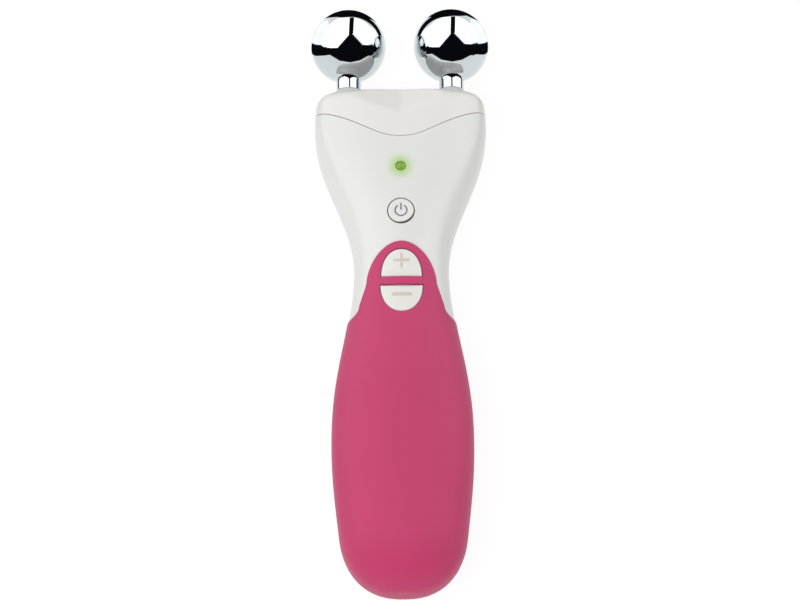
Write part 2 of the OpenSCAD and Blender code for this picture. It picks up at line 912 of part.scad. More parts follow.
// ---- Circuit board and what stands on it, in the head's frame ----

leg_d = 0.5;
leg_pitch = 1.6;

module main_board() {
    color([0.05, 0.30, 0.16])
        in_head()
            difference() {
                translate([-board_w / 2, board_at, board_back])
                    cube([board_w, board_end_at - board_at, board_t]);
                for (at = board_screws_at)
                    translate([at[0], at[1], 0])
                        cylinder(h = through, d = board_screw_d + board_screw_gap);
                for (x = [-1, 1])
                    translate([x * leg_pitch / 2, light_at, 0])
                        cylinder(h = through, d = 2 * leg_d);
            }
}

board_screw_gap = 0.3;
board_screw_head_d = 3.4;
board_screw_head_t = 1.3;
module board_screws() {
    color(STEEL)
        in_head()
            for (at = board_screws_at)
                translate([at[0], at[1], board_back - fit_gap])
                    difference() {
                        union() {
                            translate([0, 0, -board_screw_head_t])
                                cylinder(h = board_screw_head_t, d = board_screw_head_d);
                            cylinder(h = board_t + board_screw_bite, d = board_screw_d - 0.04);
                        }
                        translate([0, 0, -board_screw_head_t])
                            cross_slot(board_screw_head_t / 2);
                    }
}

// A box on the back of the board, by its middle and its size
module back_box(x, s, w, l, h) {
    translate([x - w / 2, s - l / 2, board_back - h])
        cube([w, l, h]);
}

// The pieces on the back, one after the other: those in the head go with the board's
// upper end, and the rest with its lower end
chip_w = 7;
chip_t = 1.2;
chip_leg_l = 1.6;
chip_leg_w = 0.4;
chip_leg_pitch = 0.9;
chip_at = board_at + 7.5;
module microcontroller() {
    color(BLACK)
        in_head() {
            back_box(0, chip_at, chip_w, chip_w, chip_t);
            for (x = [-1, 1], k = [-3 : 3])
                back_box(x * (chip_w / 2 + chip_leg_w), chip_at + k * chip_leg_pitch,
                    chip_leg_l, chip_leg_w, chip_leg_w);
        }
}

resistor_l = 1.6;
resistor_w = 0.9;
resistor_t = 0.5;
resistor_pitch = 1.7;
resistors_x = [4.4, 6.6];
resistors_at = chip_at + chip_w / 2 + resistor_pitch;
module resistors() {
    color(BLACK)
        in_head()
            for (side = [-1, 1], x = resistors_x, k = [0 : 2])
                back_box(side * x, resistors_at + k * resistor_pitch, resistor_l, resistor_w, resistor_t);
}

capacitor_d = 5;
capacitor_l = 6.5;
capacitor_x = 4.4;
capacitors_at = resistors_at + 2 * resistor_pitch + resistor_w + capacitor_d / 2;
module capacitors() {
    color([0.12, 0.16, 0.34])
        in_head()
            for (side = [-1, 1])
                translate([side * capacitor_x, capacitors_at, board_back - capacitor_l])
                    cylinder(h = capacitor_l, d = capacitor_d);
}

transistor_w = 4.6;
transistor_l = 4;
transistor_t = 1.5;
transistor_x = 5.2;
transistors_at = capacitors_at + capacitor_d / 2 + transistor_l / 2 + 0.5;
module output_transistors() {
    color(BLACK)
        in_head()
            for (side = [-1, 1])
                back_box(side * transistor_x, transistors_at, transistor_w, transistor_l, transistor_t);
}

transformer_w = 13;
transformer_l = 10;
transformer_h = 8;
limb_w = 1.8;
window_w = 3;
winding_t = 1.2;
winding_gap = 0.05;
transformer_at = board_end_at - 13.5;
module transformer_core() {
    color(STEEL)
        in_head()
            difference() {
                back_box(0, transformer_at, transformer_w, transformer_l, transformer_h);
                for (side = [-1, 1])
                    translate([side * transformer_w / 4, transformer_at, board_back - transformer_h / 2])
                        cube([window_w, 2 * transformer_l, transformer_h - 2 * limb_w], center = true);
            }
}
module transformer_winding() {
    winding_h = transformer_h - 2 * limb_w - 0.4;
    end_at = transformer_l / 2 + winding_gap + winding_t / 2;
    color([0.72, 0.38, 0.16])
        in_head()
            translate([0, transformer_at, board_back - transformer_h / 2])
                for (side = [-1, 1]) {
                    translate([0, side * end_at, 0])
                        cube([transformer_w / 2 + window_w - 0.5, winding_t, winding_h], center = true);
                    translate([side * transformer_w / 4, 0, 0])
                        cube([window_w - 0.5, 2 * end_at, winding_h], center = true);
                }
}

light_foot = switch_top - 0.4;
light_flange = 0.3;
light_flange_t = 0.8;
module status_light() {
    top = front_h(light_at);
    r = light_d / 2;
    color([0.62, 0.85, 0.25])
        in_head()
            translate([0, light_at, 0])
                rotate_extrude()
                    polygon(concat(
                        [[0, light_foot], [r + light_flange, light_foot],
                         [r + light_flange, light_foot + light_flange_t], [r, light_foot + light_flange_t]],
                        [for (t = [0 : 15 : 90]) [r * cos(t), top - 0.5 + 0.6 * sin(t)]]
                    ));
}
module light_legs() {
    color(STEEL)
        in_head()
            for (x = [-1, 1])
                translate([x * leg_pitch / 2, light_at, board_back - leg_d])
                    cylinder(h = light_foot - board_back + leg_d, d = leg_d);
}

// ---- Switches and buttons ----

module switch_housing(s) {
    color(BLACK)
        in_head()
            difference() {
                translate([-switch_w / 2, s - switch_w / 2, board_h])
                    cube([switch_w, switch_w, switch_t]);
                translate([0, s, switch_top - stem_depth - travel - stem_spare])
                    cylinder(h = through, d = stem_d + 2 * stem_gap);
            }
}
module power_switch() {
    switch_housing(power_at);
}
module plus_switch() {
    switch_housing(plus_at);
}
module minus_switch() {
    switch_housing(minus_at);
}

module stem(s) {
    color([0.75, 0.75, 0.72])
        in_head()
            translate([0, s, switch_top - stem_depth])
                cylinder(h = stem_top - switch_top + stem_depth, d = stem_d);
}
module power_stem() {
    stem(power_at);
}
module plus_stem() {
    stem(plus_at);
}
module minus_stem() {
    stem(minus_at);
}

module power_button() {
    r = power_d / 2;
    top = front_h(power_at) + power_proud;
    edge = 0.5;
    flange = 0.8;
    color(WHITE)
        in_head()
            translate([0, power_at, 0])
                rotate_extrude()
                    polygon(concat(
                        [[0, stem_top], [r + flange, stem_top],
                         [r + flange, stem_top + 1], [r, stem_top + 1]],
                        [for (t = [0 : 15 : 90]) [r - edge + edge * cos(t), top - edge + edge * sin(t)]],
                        [[0, top]]
                    ));
}

// A key is cut from the panel's own skin, so that it lies flush
module key_cap() {
    angles = half_turn(0, 180);
    color(WHITE)
        intersection() {
            in_head()
                translate([0, 0, stem_top])
                    linear_extrude(through)
                        children();
            ringed([
                for (s = even_stations(grip_at - 8, arch_at + arch_l + 4, 3))
                    [for (a = angles) skin(s, a, -grip_proud)]
            ]);
        }
}
module plus_key() {
    key_cap() plus_outline(0);
}
module minus_key() {
    key_cap() minus_outline(0);
}

// ---- Battery compartment ----

cell_x = (cell_d + cell_gap) / 2;
cell_h = door_t + 1.25 + cell_d / 2;
nub_l = 0.8;
nub_d = 3.8;
tray_from = cell_at - 3.2;
tray_end = cell_end + 3.4;
tray_wall = 1.5;
tray_w = 2 * cell_x + cell_d + 2.8;
tray_end_w = 16;
tray_foot = 3;
cell_room = 0.3;
tray_top = cell_h + cell_d / 2 + 1.25;
leaf_t = 0.3;
leaf_w = 4;

module along_handle(x, from, to, h, d) {
    translate([x, from - mid_y, h])
        rotate([-90, 0, 0])
            cylinder(h = to - from, d = d);
}

module battery_tray() {
    color(BLACK)
        difference() {
            union() {
                translate([-tray_w / 2, tray_from - mid_y, cell_h])
                    cube([tray_w, tray_end - tray_from, tray_top - cell_h]);
                for (s = [tray_from, tray_end - tray_wall])
                    translate([-tray_end_w / 2, s - mid_y, cell_h - tray_foot])
                        cube([tray_end_w, tray_wall, tray_top - cell_h + tray_foot]);
            }
            for (x = [-1, 1])
                along_handle(x * cell_x, tray_from + tray_wall, tray_end - tray_wall, cell_h,
                    cell_d + 2 * cell_room);
        }
}

module left_cell() {
    color([0.20, 0.22, 0.26]) {
        along_handle(-cell_x, cell_at, cell_end, cell_h, cell_d);
        along_handle(-cell_x, cell_end - 1, cell_end + nub_l, cell_h, nub_d);
    }
}
module right_cell() {
    color([0.20, 0.22, 0.26]) {
        along_handle(cell_x, cell_at, cell_end, cell_h, cell_d);
        along_handle(cell_x, cell_at - nub_l, cell_at + 1, cell_h, nub_d);
    }
}

// A thin plate against the tray's end wall, with a leaf that bows out to the cell
plate_down = 2.6;
plate_up = 3.2;
leaf_root = 1;
leaf_nose = 0.3;
module contact(x, wall_s, cell_s) {
    away = sign(cell_s - wall_s);
    reach = abs(cell_s - wall_s) - fit_gap;
    translate([x - leaf_w / 2, wall_s - mid_y, cell_h])
        rotate([90, 0, 90])
            linear_extrude(leaf_w)
                polygon([
                    [0, -plate_down], [away * leaf_t, -plate_down],
                    [away * leaf_t, leaf_root - plate_down], [away * reach, -leaf_nose],
                    [away * reach, leaf_nose], [away * leaf_t, plate_up - leaf_root],
                    [away * leaf_t, plate_up], [0, plate_up]
                ]);
}
module bridge_contact() {
    wall_s = tray_from + tray_wall + fit_gap;
    color(STEEL) {
        contact(-cell_x, wall_s, cell_at);
        contact(cell_x, wall_s, cell_at - nub_l);
        translate([-cell_x, wall_s - mid_y, cell_h - plate_down])
            cube([2 * cell_x, leaf_t, leaf_root]);
    }
}
module positive_contact() {
    color(STEEL)
        contact(-cell_x, tray_end - tray_wall - fit_gap, cell_end + nub_l);
}
module negative_contact() {
    color(STEEL)
        contact(cell_x, tray_end - tray_wall - fit_gap, cell_end);
}

// From the tray's upper end to the back of the board
function from_head(p) = [
    p[0],
    axis_y(bend_end) - mid_y + (p[1] - bend_end) * cos(bend) + p[2] * sin(bend),
    axis_z(bend_end) - (p[1] - bend_end) * sin(bend) + p[2] * cos(bend)
];
battery_lead_x = 4.5;
module battery_lead(side) {
    lead([
        [side * cell_x, tray_end + 0.3 - mid_y, tray_top - 2],
        [side * cell_x, tray_end + 2 - mid_y, tray_top - 1.4],
        from_head([side * battery_lead_x, board_at - 0.8, lead_h - 1.6]),
        from_head([side * battery_lead_x, board_at + 2, lead_h - 0.35]),
        from_head([side * battery_lead_x, board_at + 4, lead_h - 0.2])
    ]);
}
module red_lead() {
    color("firebrick") battery_lead(-1);
}
module black_lead() {
    color(BLACK) battery_lead(1);
}

// Grooves for the thumb
groove_n = 4;
groove_l = 10;
groove_w = 0.9;
groove_t = 0.5;
groove_pitch = 2;
groove_from = 5;
module battery_door() {
    color(PINK)
        difference() {
            union() {
                intersection() {
                    half_shell(wall_rings(door_end_at + 4, half_turn(190, 350),
                        -grip_proud, door_t - grip_proud));
                    door_block(0, door_depth);
                    union() {
                        translate([-door_w, hinge_at - mid_y, -2])
                            cube([2 * door_w, body_l, through]);
                        hinge_barrel(hinge_h, 2 * door_w);
                    }
                }
                both_sides()
                    translate([door_w / 2 - lug_w, hinge_at - mid_y, hinge_h])
                        rotate([0, 90, 0])
                            cylinder(h = lug_w, r = lug_r);
                hinge_barrel(hinge_pin_d / 2, door_w + 2 * hinge_pin_l);
            }
            // The pins are stubs, so nothing runs across between the lugs
            hinge_barrel(hinge_pin_d, door_w - 2 * lug_w);
            for (k = [0 : groove_n - 1])
                translate([-groove_l / 2, door_end_at - groove_from - k * groove_pitch - mid_y, -2])
                    cube([groove_l, groove_w, 2 + groove_t]);
        }
}

// A foam strip on the door keeps the cells from rattling
pad_w = 8;
pad_inset = 10;
pad_gap = 0.15;
module door_pad() {
    color([0.25, 0.25, 0.27])
        translate([-pad_w / 2, cell_at + pad_inset - mid_y, door_t])
            cube([pad_w, cell_l - 2 * pad_inset, cell_h - cell_d / 2 - door_t - pad_gap]);
}

// ---- Screws of the casing ----

module casing_screw(l) {
    difference() {
        union() {
            translate([0, 0, -screw_head_t])
                cylinder(h = screw_head_t, d = screw_head_d);
            cylinder(h = l, d = screw_d - 0.04);
        }
        translate([0, 0, -screw_head_t])
            cross_slot(0.9);
    }
}
module casing_screws() {
    color(STEEL) {
        at_head_screws(head_screw_floor - fit_gap)
            casing_screw(screw_bite - head_screw_floor);
        at_end_screws(end_screw_floor - fit_gap)
            casing_screw(axis_h + screw_bite - end_screw_floor);
    }
}

front_shell();
rear_shell();
head_cap();
front_grip();
rear_grip();
left_electrode();
right_electrode();
electrode_seals();
electrode_tags();
electrode_washers();
electrode_screws();
left_lead();
right_lead();
main_board();
microcontroller();
transformer_core();
transformer_winding();
capacitors();
resistors();
output_transistors();
status_light();
light_legs();
power_switch();
plus_switch();
minus_switch();
power_button();
plus_key();
minus_key();
power_stem();
plus_stem();
minus_stem();
battery_tray();
left_cell();
right_cell();
bridge_contact();
positive_contact();
negative_contact();
red_lead();
black_lead();
battery_door();
door_pad();
casing_screws();
board_screws();
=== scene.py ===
import math

import bpy
from mathutils import Matrix, Vector


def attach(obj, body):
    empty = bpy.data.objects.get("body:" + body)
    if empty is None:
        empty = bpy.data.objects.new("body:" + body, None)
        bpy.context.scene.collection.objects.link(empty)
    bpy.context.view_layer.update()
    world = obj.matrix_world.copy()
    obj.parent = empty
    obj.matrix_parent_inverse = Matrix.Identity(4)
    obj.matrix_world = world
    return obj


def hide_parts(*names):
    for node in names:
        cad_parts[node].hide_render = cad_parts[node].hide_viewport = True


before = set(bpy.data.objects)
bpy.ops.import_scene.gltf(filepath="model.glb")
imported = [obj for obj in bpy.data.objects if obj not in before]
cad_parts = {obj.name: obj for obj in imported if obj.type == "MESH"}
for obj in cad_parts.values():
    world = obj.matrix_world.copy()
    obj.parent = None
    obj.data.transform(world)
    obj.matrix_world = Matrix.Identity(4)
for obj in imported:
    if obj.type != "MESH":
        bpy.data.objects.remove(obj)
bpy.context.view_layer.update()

# ---- Rear shell ----
# The back half of the casing, moulded in white ABS. Its lower part is set back by
# the thickness of the soft grip, and the battery door's opening is cut into it.

MM = 0.001
MERGE = 0.0004 * MM
UPPER_L = 70.8
END_W, HANDLE_W, WAIST_W, HEAD_W, CAP_W = 35, 41, 27.7, 50, 49
HANDLE_AT, WAIST_UP, HEAD_DOWN = 44, 16.5, 9.3
END_ROUND, CAP_ROUND = 18, 4
AXIS_H, HANDLE_FRONT, HANDLE_BACK, BACK_RISE = 16.5, 12.5, 16.9, 42
WAIST_FRONT, WAIST_BACK, HEAD_FRONT, HEAD_BACK = 11.3, 11.2, 12.8, 10.7
BEND, BEND_DOWN, BEND_L = math.radians(6), 1.5, 30
HANDLE_POWER, HEAD_POWER, END_POWER, WAIST_LAG = 2.4, 3.8, 2.3, 1.2
HINGE_AT, HINGE_H, CELL_UP, CELL_L, DOOR_OVER, GRIP_OVER = 22, 4, 5.5, 43.7, 1.8, 8.5
BALL_D, BALL_UP = 21.8, 16.7
SEAM_DOWN, SEAM_DIP, SEAM_ROUND, SEAM_BEND, SEAM_GAP = 6.8, 9.3, 0.33, 1.7, 0.2
GRIP_T, PROUD, FIT_GAP, WALL = 1, 0.3, 0.05, 2.2

DOOR_END_AT = HINGE_AT + CELL_UP + CELL_L + DOOR_OVER
GRIP_AT = DOOR_END_AT + GRIP_OVER
BODY_L = GRIP_AT + UPPER_L
WAIST_AT = GRIP_AT + WAIST_UP
HEAD_AT = BODY_L - HEAD_DOWN
BEND_AT = GRIP_AT - BEND_DOWN
BEND_R = BEND_L / BEND
BEND_END = BEND_AT + BEND_L


def ease(t):
    return (1 - math.cos(math.pi * min(1, max(0, t)))) / 2


def between(s, start, stop, a, b, lag=1):
    return a + (b - a) * ease(min(1, max(0, (s - start) / (stop - start))) ** lag)


def half_width(s):
    if s < HANDLE_AT:
        return between(s, 0, HANDLE_AT, END_W, HANDLE_W) / 2
    if s < WAIST_AT:
        return between(s, HANDLE_AT, WAIST_AT, HANDLE_W, WAIST_W, WAIST_LAG) / 2
    if s < HEAD_AT:
        return between(s, WAIST_AT, HEAD_AT, WAIST_W, HEAD_W) / 2
    return between(s, HEAD_AT, BODY_L, HEAD_W, CAP_W) / 2


def depth(s, front):
    if front:
        if s < WAIST_AT:
            return between(s, HANDLE_AT, WAIST_AT, HANDLE_FRONT, WAIST_FRONT)
        return between(s, WAIST_AT, HEAD_AT, WAIST_FRONT, HEAD_FRONT)
    if s < WAIST_AT:
        return between(s, WAIST_AT - BACK_RISE, WAIST_AT, HANDLE_BACK, WAIST_BACK, WAIST_LAG)
    return between(s, WAIST_AT, HEAD_AT, WAIST_BACK, HEAD_BACK)


def lean(s):
    return BEND * min(1, max(0, (s - BEND_AT) / BEND_L))


def axis_point(s):
    """The axis at the distance s from the bottom end: its place along Y and its height."""
    if s < BEND_AT:
        return s, AXIS_H
    beyond = max(0, s - BEND_END)
    along = BEND_AT + BEND_R * math.sin(lean(s)) + beyond * math.cos(BEND)
    return along, AXIS_H - BEND_R * (1 - math.cos(lean(s))) - beyond * math.sin(BEND)


BALL_AT = BODY_L + BALL_UP
BALL_V = (BALL_D / 2 - axis_point(BALL_AT)[1]) / math.cos(BEND)
MID_Y = (axis_point(BALL_AT)[0] + BALL_V * math.sin(BEND) + BALL_D / 2 - PROUD) / 2


def section_reach(turn, power):
    """How far a section reaches at a turn: a circle at power 2, nearly a square as the power grows."""
    a = math.radians(turn)
    return (abs(math.cos(a)) ** power + abs(math.sin(a)) ** power) ** (-1 / power)


def squareness(s):
    return between(s, WAIST_AT, HEAD_AT, HANDLE_POWER, HEAD_POWER)


def skin(s, turn, inset):
    """A point of the body's surface in metres; turn goes round the section, from +X to the front."""
    arc = min(1, max(0, (s - BODY_L + CAP_ROUND) / (CAP_ROUND - inset)))
    sunk = inset + (CAP_ROUND - inset) * (1 - math.sqrt(1 - arc * arc))
    end = 1
    if s < END_ROUND:
        end = (1 - min(1, (END_ROUND - s) / (END_ROUND - inset)) ** END_POWER) ** (1 / END_POWER)
    c, n = math.cos(math.radians(turn)), math.sin(math.radians(turn))
    far = end * section_reach(turn, squareness(s))
    x = far * (half_width(s) - sunk) * c
    q = far * (depth(s, n >= 0) - sunk) * n
    along, height = axis_point(s)
    y = max(0, along) + q * math.sin(lean(s)) - MID_Y
    z = height + q * math.cos(lean(s))
    return Vector((x, y, max(inset + PROUD, z))) * MM


def seam_at(turn):
    """How far up the cap's seam lies: it dips towards the middle of the front and of the back."""
    across = abs(math.cos(math.radians(turn))) * section_reach(turn, HEAD_POWER)
    rounded = across * (1 - math.exp(-((across / SEAM_ROUND) ** SEAM_BEND)))
    return BODY_L - SEAM_DOWN - SEAM_DIP * (1 - rounded)


def select_only(piece):
    bpy.ops.object.select_all(action="DESELECT")
    piece.select_set(True)
    bpy.context.view_layer.objects.active = piece


def weld(piece):
    """Joins the points that meet and turns every face outwards."""
    select_only(piece)
    bpy.ops.object.mode_set(mode="EDIT")
    bpy.ops.mesh.select_all(action="SELECT")
    bpy.ops.mesh.remove_doubles(threshold=MERGE)
    bpy.ops.mesh.normals_make_consistent(inside=False)
    bpy.ops.object.mode_set(mode="OBJECT")


def laid_grid(name, rows):
    """A grid with one row of points after another laid in place."""
    bpy.ops.mesh.primitive_grid_add(x_subdivisions=len(rows[0]) - 1, y_subdivisions=len(rows) - 1)
    piece = bpy.context.object
    piece.name = name
    for vertex, point in zip(piece.data.vertices, (p for row in rows for p in row)):
        vertex.co = point
    return piece


def apply_modifier(piece, kind, **settings):
    modifier = piece.modifiers.new(kind.lower(), kind)
    for setting, value in settings.items():
        setattr(modifier, setting, value)
    select_only(piece)
    bpy.ops.object.modifier_apply(modifier=modifier.name)


def folded(name, outer, inner):
    """A solid from the rows of its right half, outside and inside.

    The grid runs along the outside from the middle to the parting line and back along the
    inside. One more row at each end folds it shut.
    """
    rows = [out[::-1] + into for out, into in zip(outer, inner)]
    ends = [row[: len(outer[0])] for row in (rows[0], rows[-1])]
    ends = [end + end[::-1] for end in ends]
    piece = laid_grid(name, [ends[0], *rows, ends[1]])
    apply_modifier(piece, "MIRROR", merge_threshold=MERGE)
    weld(piece)
    return piece


def laid(rows):
    """The places of rows whose points are given as (s, turn, inset) on the skin."""
    return [[skin(*point) for point in row] for row in rows]


def moulding(name, outer, inner):
    return folded(name, laid(outer), laid(inner))


EDGE = 0.12


def cut(piece, *cutters, operation="DIFFERENCE"):
    for cutter in cutters:
        apply_modifier(piece, "BOOLEAN", object=cutter, operation=operation, solver="EXACT")
        bpy.data.objects.remove(cutter)
    weld(piece)


def soften(piece, width=EDGE, angle=40, segments=2):
    """Rounds the sharp edges, and shades the rest smooth."""
    apply_modifier(
        piece, "BEVEL", width=width * MM, segments=segments, limit_method="ANGLE",
        angle_limit=math.radians(angle), use_clamp_overlap=True, harden_normals=False,
    )
    select_only(piece)
    bpy.ops.object.shade_smooth_by_angle(angle=math.radians(32))


# The points across a row, the space between rows, how near an edge its last row lies, and the
# rows up to the seam
ACROSS, ROW, RIM, STEP_ROW, SEAM_ROWS = 48, 1.3, 0.7, 0.6, 45


def even_row(s, start, stop, inset):
    return [(s, start + (stop - start) * k / ACROSS, inset) for k in range(ACROSS + 1)]


def seam_row(down, start, stop, inset):
    turns = [start + (stop - start) * k / ACROSS for k in range(ACROSS + 1)]
    return [(seam_at(turn) - down, turn, inset) for turn in turns]


def between_rows(first, last, count):
    """Rows that lead from the first to the last, without those two."""
    shares = [k / count for k in range(1, count)]
    return [
        [(a[0] + (b[0] - a[0]) * t, a[1] + (b[1] - a[1]) * t, a[2]) for a, b in zip(first, last)]
        for t in shares
    ]


def end_rows(start, stop, inset):
    """Rows round the bottom end, from its pole up to where the sides begin."""
    reach = END_ROUND - inset
    angles = [math.radians(t) for t in range(0, 90, 5)]
    return [even_row(END_ROUND - reach * math.cos(t), start, stop, inset) for t in angles]


def side_rows(start, stop, inset, top):
    """Rows up the straight part of the handle, to the distance top."""
    steps = round((top - END_ROUND) / ROW)
    return [
        even_row(END_ROUND + (top - END_ROUND) * k / steps, start, stop, inset)
        for k in range(steps + 1)
    ]


def level_rows(outer, start, stop, inset):
    """The inside's rows: level with the outside's at the parting line, and even across."""
    rows, below = [], 0
    for row in outer:
        level, _, sunk = row[0]
        if level < END_ROUND:
            level = END_ROUND - (END_ROUND - level) * (END_ROUND - inset) / (END_ROUND - sunk)
        level = below = max(level, below + 0.05)
        share = min(1, max(0, (level - DOOR_END_AT) / (seam_at(0) - DOOR_END_AT)))
        rows.append([
            (level + (seam_at(turn) - seam_at(0)) * share, turn, inset)
            for _, turn, _ in even_row(0, start, stop, inset)
        ])
    return rows


def head_point(x, y, v):
    """A point given in the head's frame: y along its axis, v its height above it."""
    along, height = axis_point(BEND_END)
    far = y - BEND_END
    return Vector((
        x,
        along - MID_Y + far * math.cos(BEND) + v * math.sin(BEND),
        height - far * math.sin(BEND) + v * math.cos(BEND),
    )) * MM


HEAD_FRAME = Matrix.Translation(head_point(0, 0, 0)) @ Matrix.Rotation(-BEND, 4, "X")
DOOR_W, DOOR_GAP, DOOR_CORNER, DOOR_SWING, DOOR_CUT = 22.4, 0.25, 2.5, math.radians(60), (-1, 9)
HEAD_SCREW, END_SCREW = (14, BODY_L - 23.3), (7, 13)
SCREW_D, SCREW_HEAD_D, SCREW_GAP, POST_R, POST_L, POST_INSET = 2.2, 4, 0.2, 3, 30, 1.5
# How far the screws' heads lie in from the shell's back and from the table
HEAD_SCREW_SINK, END_SCREW_SINK, THROUGH = 4.1, 5.4, 20


def rod(place, low, high, radius, vertices=48):
    """A round rod along Z in millimetres, at a place ((x, y), whether it is in the head's frame)."""
    bpy.ops.mesh.primitive_cylinder_add(
        vertices=vertices, radius=radius * MM, depth=(high - low) * MM, end_fill_type="NGON"
    )
    piece = bpy.context.object
    at, in_head = place
    middle = Vector((at[0], at[1], (low + high) / 2)) * MM
    if in_head:
        piece.data.transform(HEAD_FRAME @ Matrix.Translation(middle))
    else:
        piece.data.transform(Matrix.Translation(middle - Vector((0, MID_Y * MM, 0))))
    return piece


def both(x, y, tilted):
    return [((side * x, y), tilted) for side in (-1, 1)]


def screw_posts(rows, start, stop, way):
    """The four posts of one shell: rods that end in its wall and just short of the other's."""
    middle = laid(level_rows(rows, start, stop, POST_INSET))
    flat = [[Vector((point.x, row[0].y, row[0].z)) for point in row] for row in middle]
    inside = folded("inside", middle, flat)
    ends = sorted((way * FIT_GAP, way * POST_L))
    posts = [rod(place, *ends, POST_R) for place in both(*HEAD_SCREW, True)]
    posts += [rod(place, AXIS_H + ends[0], AXIS_H + ends[1], POST_R) for place in both(*END_SCREW, False)]
    select_only(posts[0])
    for post in posts:
        post.select_set(True)
    bpy.ops.object.join()
    cut(posts[0], inside, operation="INTERSECT")
    return posts[0]


def extruded(outline, low, high, frame_matrix):
    """A straight prism on an outline of (x, y) points in millimetres."""
    bpy.ops.mesh.primitive_circle_add(vertices=len(outline), fill_type="NGON")
    piece = bpy.context.object
    for vertex, (x, y) in zip(piece.data.vertices, outline):
        vertex.co = Vector((x, y, low)) * MM
    bpy.ops.object.mode_set(mode="EDIT")
    bpy.ops.mesh.select_all(action="SELECT")
    bpy.ops.mesh.extrude_region_move(TRANSFORM_OT_translate={"value": (0, 0, (high - low) * MM)})
    bpy.ops.mesh.select_all(action="SELECT")
    bpy.ops.mesh.normals_make_consistent(inside=False)
    bpy.ops.object.mode_set(mode="OBJECT")
    piece.data.transform(frame_matrix)
    return piece


def door_outline(grow, start):
    """The door from below: two round corners at its upper end."""
    half, r, end = DOOR_W / 2 + grow, DOOR_CORNER + grow, DOOR_END_AT + grow
    right = [
        (half - r + r * math.cos(math.radians(t)), end - r + r * math.sin(math.radians(t)))
        for t in range(0, 91, 10)
    ]
    left = [(-x, y) for x, y in reversed(right)]
    return [(half, start), *right, *left, (-half, start)]


LENGTHWISE = Matrix.Translation((0, -MID_Y * MM, 0))
ACROSS_FRAME = Matrix.Translation(Vector((0, HINGE_AT - MID_Y, HINGE_H)) * MM) @ Matrix(
    ((0, 0, 1, 0), (1, 0, 0, 0), (0, 1, 0, 0), (0, 0, 0, 1))
)


def hinge_rod(radius, length):
    points = [
        (radius * math.cos(math.radians(t)), radius * math.sin(math.radians(t)))
        for t in range(0, 360, 5)
    ]
    return extruded(points, -length / 2, length / 2, ACROSS_FRAME)


def door_hole():
    """The hole for the door: straight beyond the hinge, and round about it, with a cut-back lip."""
    hole = extruded(door_outline(DOOR_GAP, HINGE_AT), *DOOR_CUT, LENGTHWISE)
    groove = hinge_rod(HINGE_H + DOOR_GAP, DOOR_W + 2 * DOOR_GAP)
    r = HINGE_H + DOOR_GAP / 2
    reach = r * math.tan(DOOR_SWING / 2)
    lip = extruded(
        [(0, 0), (-r * math.sin(DOOR_SWING), -r * math.cos(DOOR_SWING)), (-reach, -r),
         (-reach, -2 * r), (0, -2 * r)],
        -DOOR_W / 2 - DOOR_GAP, DOOR_W / 2 + DOOR_GAP, ACROSS_FRAME,
    )
    cut(hole, groove, lip, operation="UNION")
    return hole


RECESS = GRIP_T - PROUD + FIT_GAP
BACK = (360, 270)
edge_low = even_row(GRIP_AT + FIT_GAP, *BACK, RECESS)
edge_high = even_row(GRIP_AT + FIT_GAP, *BACK, 0)
rear_rows = end_rows(*BACK, RECESS) + side_rows(*BACK, RECESS, GRIP_AT - STEP_ROW)
rear_rows += [edge_low, edge_high, even_row(GRIP_AT + RIM, *BACK, 0)]
rear_rows += between_rows(rear_rows[-1], seam_row(RIM, *BACK, 0), SEAM_ROWS)
rear_rows += [seam_row(RIM, *BACK, 0), seam_row(SEAM_GAP / 2, *BACK, 0)]
rear_shell = moulding("rear_casing", rear_rows, level_rows(rear_rows, *BACK, WALL))
cut(rear_shell, screw_posts(rear_rows, *BACK, -1), operation="UNION")
cut(rear_shell, door_hole())
head_floor = HEAD_SCREW_SINK - depth(HEAD_SCREW[1], False)
for place in both(*HEAD_SCREW, True):
    cut(rear_shell, rod(place, -THROUGH, head_floor, SCREW_HEAD_D / 2 + SCREW_GAP))
    cut(rear_shell, rod(place, -THROUGH, 1, (SCREW_D + SCREW_GAP) / 2))
for place in both(*END_SCREW, False):
    cut(rear_shell, rod(place, -1, END_SCREW_SINK, SCREW_HEAD_D / 2 + SCREW_GAP))
    cut(rear_shell, rod(place, -1, THROUGH, (SCREW_D + SCREW_GAP) / 2))
soften(rear_shell)


def tone(*colour):
    """A colour as it is seen on a screen, for a shader."""
    shares = [c / 255 for c in colour]
    return [c / 12.92 if c <= 0.04 else ((c + 0.055) / 1.055) ** 2.4 for c in shares] + [1]


def wired(tree, kind, inputs, **settings):
    """A new shader node, whose inputs each take a value or another node's output."""
    node = tree.nodes.new(kind)
    for setting, value in settings.items():
        setattr(node, setting, value)
    for socket, value in inputs.items():
        if isinstance(value, bpy.types.NodeSocket):
            tree.links.new(value, node.inputs[socket])
        else:
            node.inputs[socket].default_value = value
    return node


def own_place(tree):
    return wired(tree, "ShaderNodeTexCoord", {}).outputs["Object"]


def ramp(tree, value, start, stop, low, high, course="LINEAR"):
    """Leads a value from low at the start to high at the stop."""
    ends = {"Value": value, "From Min": start, "From Max": stop, "To Min": low, "To Max": high}
    return wired(tree, "ShaderNodeMapRange", ends, interpolation_type=course).outputs["Result"]


def noise(tree, size, detail=2.0, stretch=(1, 1, 1)):
    """Soft noise in the object's own space, with patches of about that size in millimetres."""
    scaled = wired(tree, "ShaderNodeMapping", {"Vector": own_place(tree), "Scale": stretch})
    inputs = {"Vector": scaled.outputs["Vector"], "Scale": 1 / (size * MM), "Detail": detail}
    return wired(tree, "ShaderNodeTexNoise", inputs).outputs["Fac"]


def spread(tree, value, low, high):
    """Stretches a noise's middle part to the range from low to high."""
    return ramp(tree, value, 0.3, 0.7, low, high)


